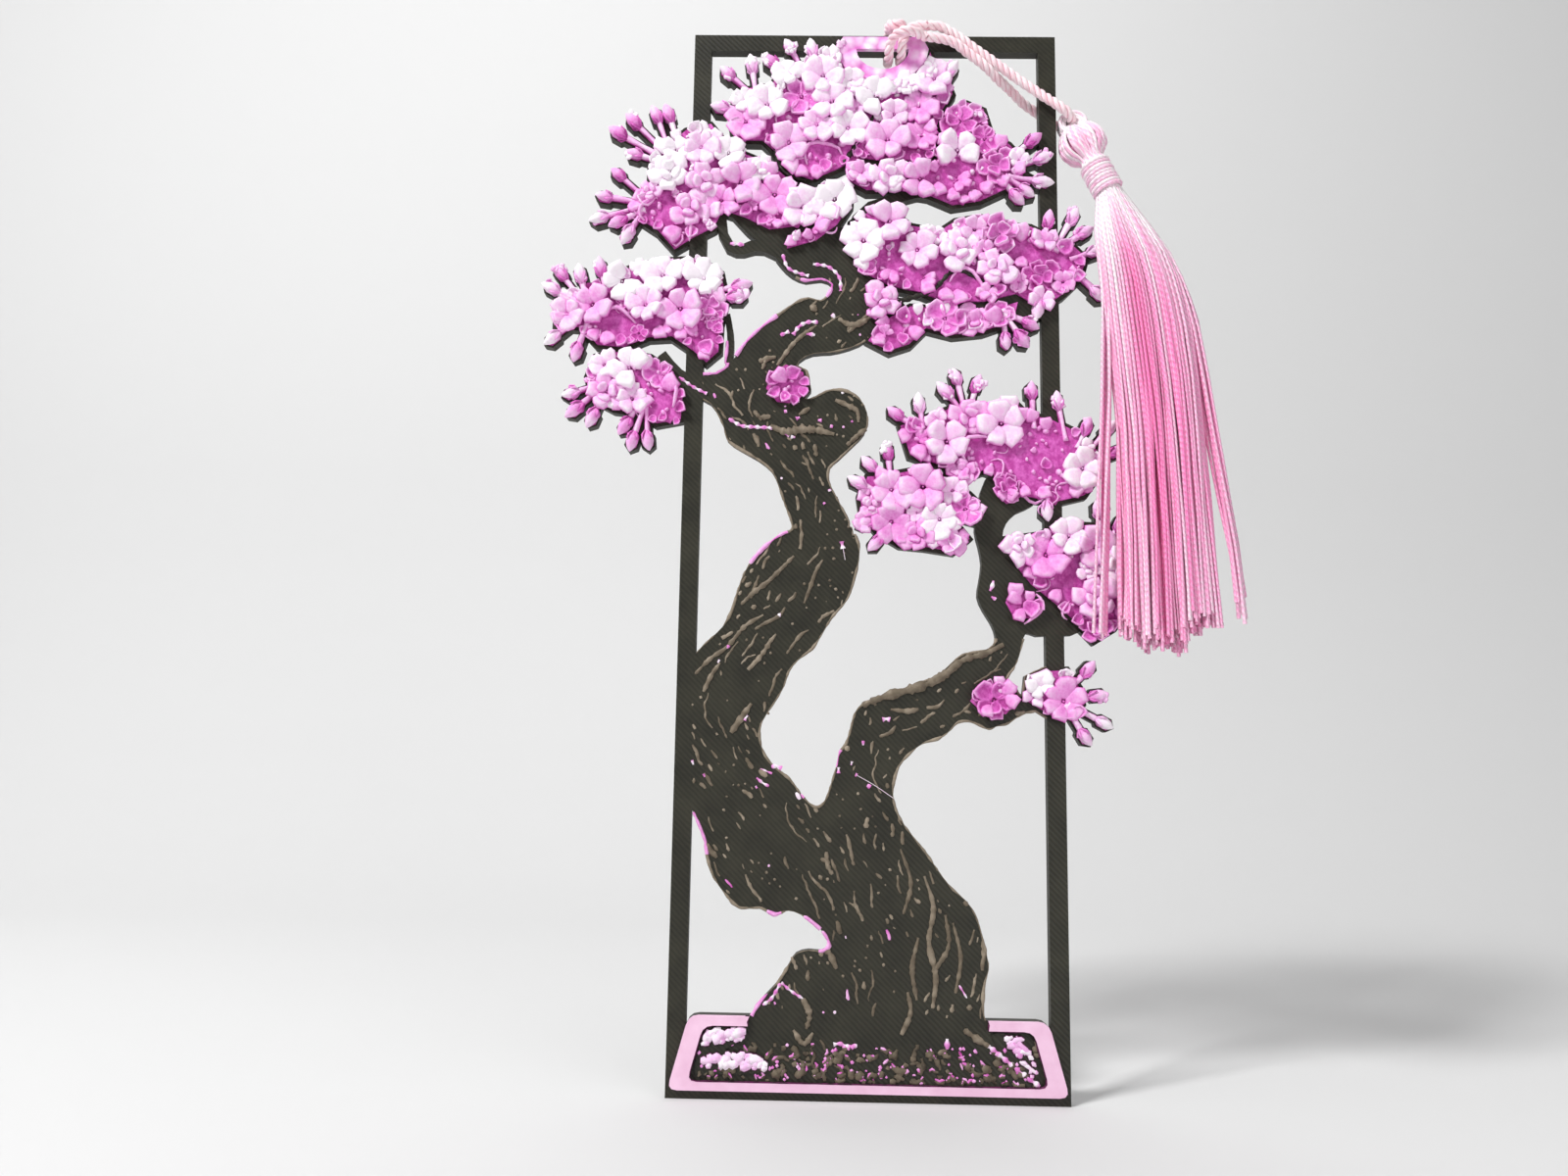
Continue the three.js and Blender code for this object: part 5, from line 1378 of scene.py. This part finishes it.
def makeHead():
    rng = random.Random(4)
    lines = []
    for k in range(tassel["threads"]):
        angle = tau * k / tassel["threads"] + rng.uniform(-0.05, 0.05)
        own, outer = rng.uniform(-0.36, 0.14), rng.uniform(0.90, 1.07)
        swirl = rng.uniform(-0.12, 0.12)
        line = []
        for i in range(tassel["steps"] + 1):
            t = i / tassel["steps"]
            along = tassel["start"] + (neckStart + tassel["neck"] * 0.6 - tassel["start"]) * t
            a, reach = angle + swirl * t, tassel["neckReach"]
            if along < neckStart:
                u = (along - tassel["eyeRoom"]) / tassel["head"]
                swell = sin(pi * min(1, u * 0.93 + 0.04)) ** 0.62
                pinch = max(0.0, (u - 0.72) / 0.28)
                lobe, deepness = (max(0.5, tassel[key] * swell) for key in ("lobe", "deep"))
                outline = headOutline(a, lobe, tassel["lobeShift"] * swell * (1 - pinch), deepness) * outer
                reach = outline * (1 - pinch) + reach * pinch
            p = onTassel(along, reach * cos(a) + 0.06 * sin(5 * t + k), reach * sin(a))
            # painted highlight: the head's threads are pale, paler at the eye end and at the neck than across the
            # bulb's middle, with a random tone for each thread
            line.append((*p, 0.29 - 0.06 * t, 1.12 - 0.30 * sin(pi * min(1, t * 1.25)) + own, k))
        lines.append(line)
    for k in range(tassel["loops"]):  # threads that loop over the cord in the eye
        reach = 1.45 + 0.35 * cos(k * 1.9)
        turns = [pi * (-0.18 + 1.36 * i / 12) for i in range(13)]
        lines.append([(*onTassel(-reach * sin(a) + 0.25, reach * cos(a) * 1.05, (k - 5) * 0.16), 0.26,
                       0.95 + 0.1 * sin(k), k) for a in turns])
    threads = makeThreads("headThreads", lines, silk, 6)
    core = bmesh.new()
    bmesh.ops.create_icosphere(core, subdivisions=3, radius=1.0)
    for v in core.verts:
        along = tassel["eyeRoom"] + tassel["head"] * (0.5 + 0.5 * v.co.z)
        v.co = onTassel(along, v.co.x * tassel["core"][0], v.co.y * tassel["core"][1]) * mm
    bmesh.ops.recalc_face_normals(core, faces=core.faces)
    data = bpy.data.meshes.new("headCore")
    core.to_mesh(data)
    core.free()
    tones = data.attributes.new("tone", "FLOAT", "POINT").data
    tones.foreach_set("value", [tassel["coreTone"]] * len(tones))
    settle(threads, "head", "tassel_head")
    settle(paint(linked("headCore", data), silk), "head")


def makeBinding():
    line, per = [], binding["perTurn"]
    for i in range(binding["turns"] * per):
        a = tau * i / per
        along = neckStart + binding["below"] + binding["pitch"] * i / per + 0.16 * sin(a + 0.6)
        p = onTassel(along, binding["radius"] * cos(a), binding["radius"] * sin(a))
        line.append((*p, binding["thread"] * (1 + 0.12 * sin(i * 0.31)), 0.82 + 0.2 * sin(i * 0.13), i / 40))
    settle(makeThreads("neckWraps", [line], silk, 8), "head", "neck_binding")


makeHead()
makeBinding()

skirt = {"threads": 400, "strays": 12, "radius": 0.21, "steps": 17, "top": 124.0, "low": 60.0, "depth": 2.5,
         "core": 0.42, "neckWide": 1.72, "neckDeep": 1.7, "blend": (-2.5, 4),
         "left": [(124, 31.3), (118, 31.3), (106.4, 32.0), (90, 33.2), (74, 33.4), (60, 33.1)],
         "right": [(124, 34.8), (121, 38.2), (115.5, 41.4), (110.8, 43.0), (105.5, 44.0), (97, 44.8), (87, 45.2),
                   (74, 45.6), (60, 46.2)],
         "strayLeft": [(124, 31.2), (109.3, 31.7), (95, 31.0), (81.3, 30.0), (60, 28.8)],
         "strayRight": [(124, 34.8), (121, 38.2), (115.5, 41.6), (110.8, 43.6), (105.5, 45.0), (98, 46.0),
                        (89.7, 47.0), (81.5, 48.1), (73.4, 49.3), (60, 50.6)]}
hinge = eye + axis * (tassel["eyeRoom"] + tassel["head"] + tassel["neck"] + 0.4 + tassel["shoulder"])


def edgeAt(side, z):
    heights, places = zip(*skirt[side][::-1])
    return float(np.interp(z, heights, places))


def threadAt(across, ahead, z, stray):
    # across runs from 0 at the left edge to 1 at the right one, ahead from -1 in front to 1 behind
    left, right = (edgeAt(side, z) for side in (("strayLeft", "strayRight") if stray else ("left", "right")))
    t = max(0.0, (skirt["top"] - z) / 60)
    deepness = 1.5 + (skirt["depth"] - 1.5) * t
    return Vector((left + (right - left) * across, hinge.y - (5.9 + hinge.y) * t ** 0.7 + ahead * deepness, z))


def makeSkirt():
    rng = random.Random(9)
    lines, golden = [], pi * (3 - sqrt(5))
    count, strays, last = skirt["threads"], 2 * skirt["strays"], skirt["steps"] - 1
    for k in range(count + strays):
        spot, stray = sqrt((k + 0.5) / count), k >= count
        across, ahead = 0.5 + 0.5 * spot * cos(k * golden), spot * sin(k * golden)
        if stray:
            across = (0.01 + 0.20 * rng.random()) if (k - count) % 2 else (0.99 - 0.10 * rng.random())
            ahead = rng.uniform(-0.4, 0.4)
        else:
            across = 0.5 + 0.5 * copysign(abs(2 * across - 1) ** 0.8, across - 0.5)
        end = skirt["low"] + 4.2 * max(0, across - 0.6) / 0.4 + 1.2 * max(0, 0.1 - across) / 0.1
        end += rng.uniform(-0.6, 2.8)
        phase, sway = rng.uniform(0, tau), rng.uniform(0.1, 0.5)
        core = exp(-((across - skirt["core"]) / 0.13) ** 2)
        lock = wave(across * 5, ahead * 1.5, 7)
        end -= 2.2 * lock
        # random locks of threads are paler or deeper; one thread in ten is painted paler, a painted glint
        own = rng.uniform(-0.16, 0.16) + 0.28 * lock + 0.25 * (rng.random() < 0.1)
        wide = 2 * across - 1
        neckAt = Vector((skirt["neckWide"] * wide, -skirt["neckDeep"] * ahead * sqrt(max(0.0, 1 - wide ** 2))))
        line = []
        for i in range(3):
            p = onTassel(neckStart + tassel["neck"] * (0.7 + 0.13 * i), neckAt.x, neckAt.y)
            line.append((*p, skirt["radius"], 0.98 + own * 0.5, phase))
        for i in range(1, last + 1):
            t = i / last
            p = threadAt(across, ahead, skirt["top"] - 1.2 + (end - skirt["top"] + 1.2) * t, stray)
            p.x += sway * t * sin(phase + 5.5 * t) + 0.3 * t * sin(tau * 8 * across)
            p.y += 0.4 * sway * t * cos(phase * 2 + 4 * t)
            # painted sheen: paler just below the binding and on the left side, where the light falls; the ends
            # are also a little paler
            paintedSheen = 0.28 + 0.74 * exp(-t / 0.15) + 0.22 * max(0, t - 0.7) / 0.3
            paintedSheen += 0.3 * max(0.0, 0.35 - across) / 0.35 * (1 - t)
            tone = paintedSheen + own - 0.40 * core * min(1, t / 0.12) * (1 - 0.35 * t)
            radius = skirt["radius"] * (1 + 0.12 * sin(phase + 23 * t)) * (1.2 if i == last else 1)
            line.append((*p, radius, tone, phase))
        lines.append(line)
    made = makeThreads("skirtThreads", lines, silk, 4)
    start, stop = (tuple((hinge + axis * along) * mm) for along in skirt["blend"])
    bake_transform(made)
    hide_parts("thread_skirt")
    print("tassel:", count + strays, "threads")


makeSkirt()

bpy.context.view_layer.update()
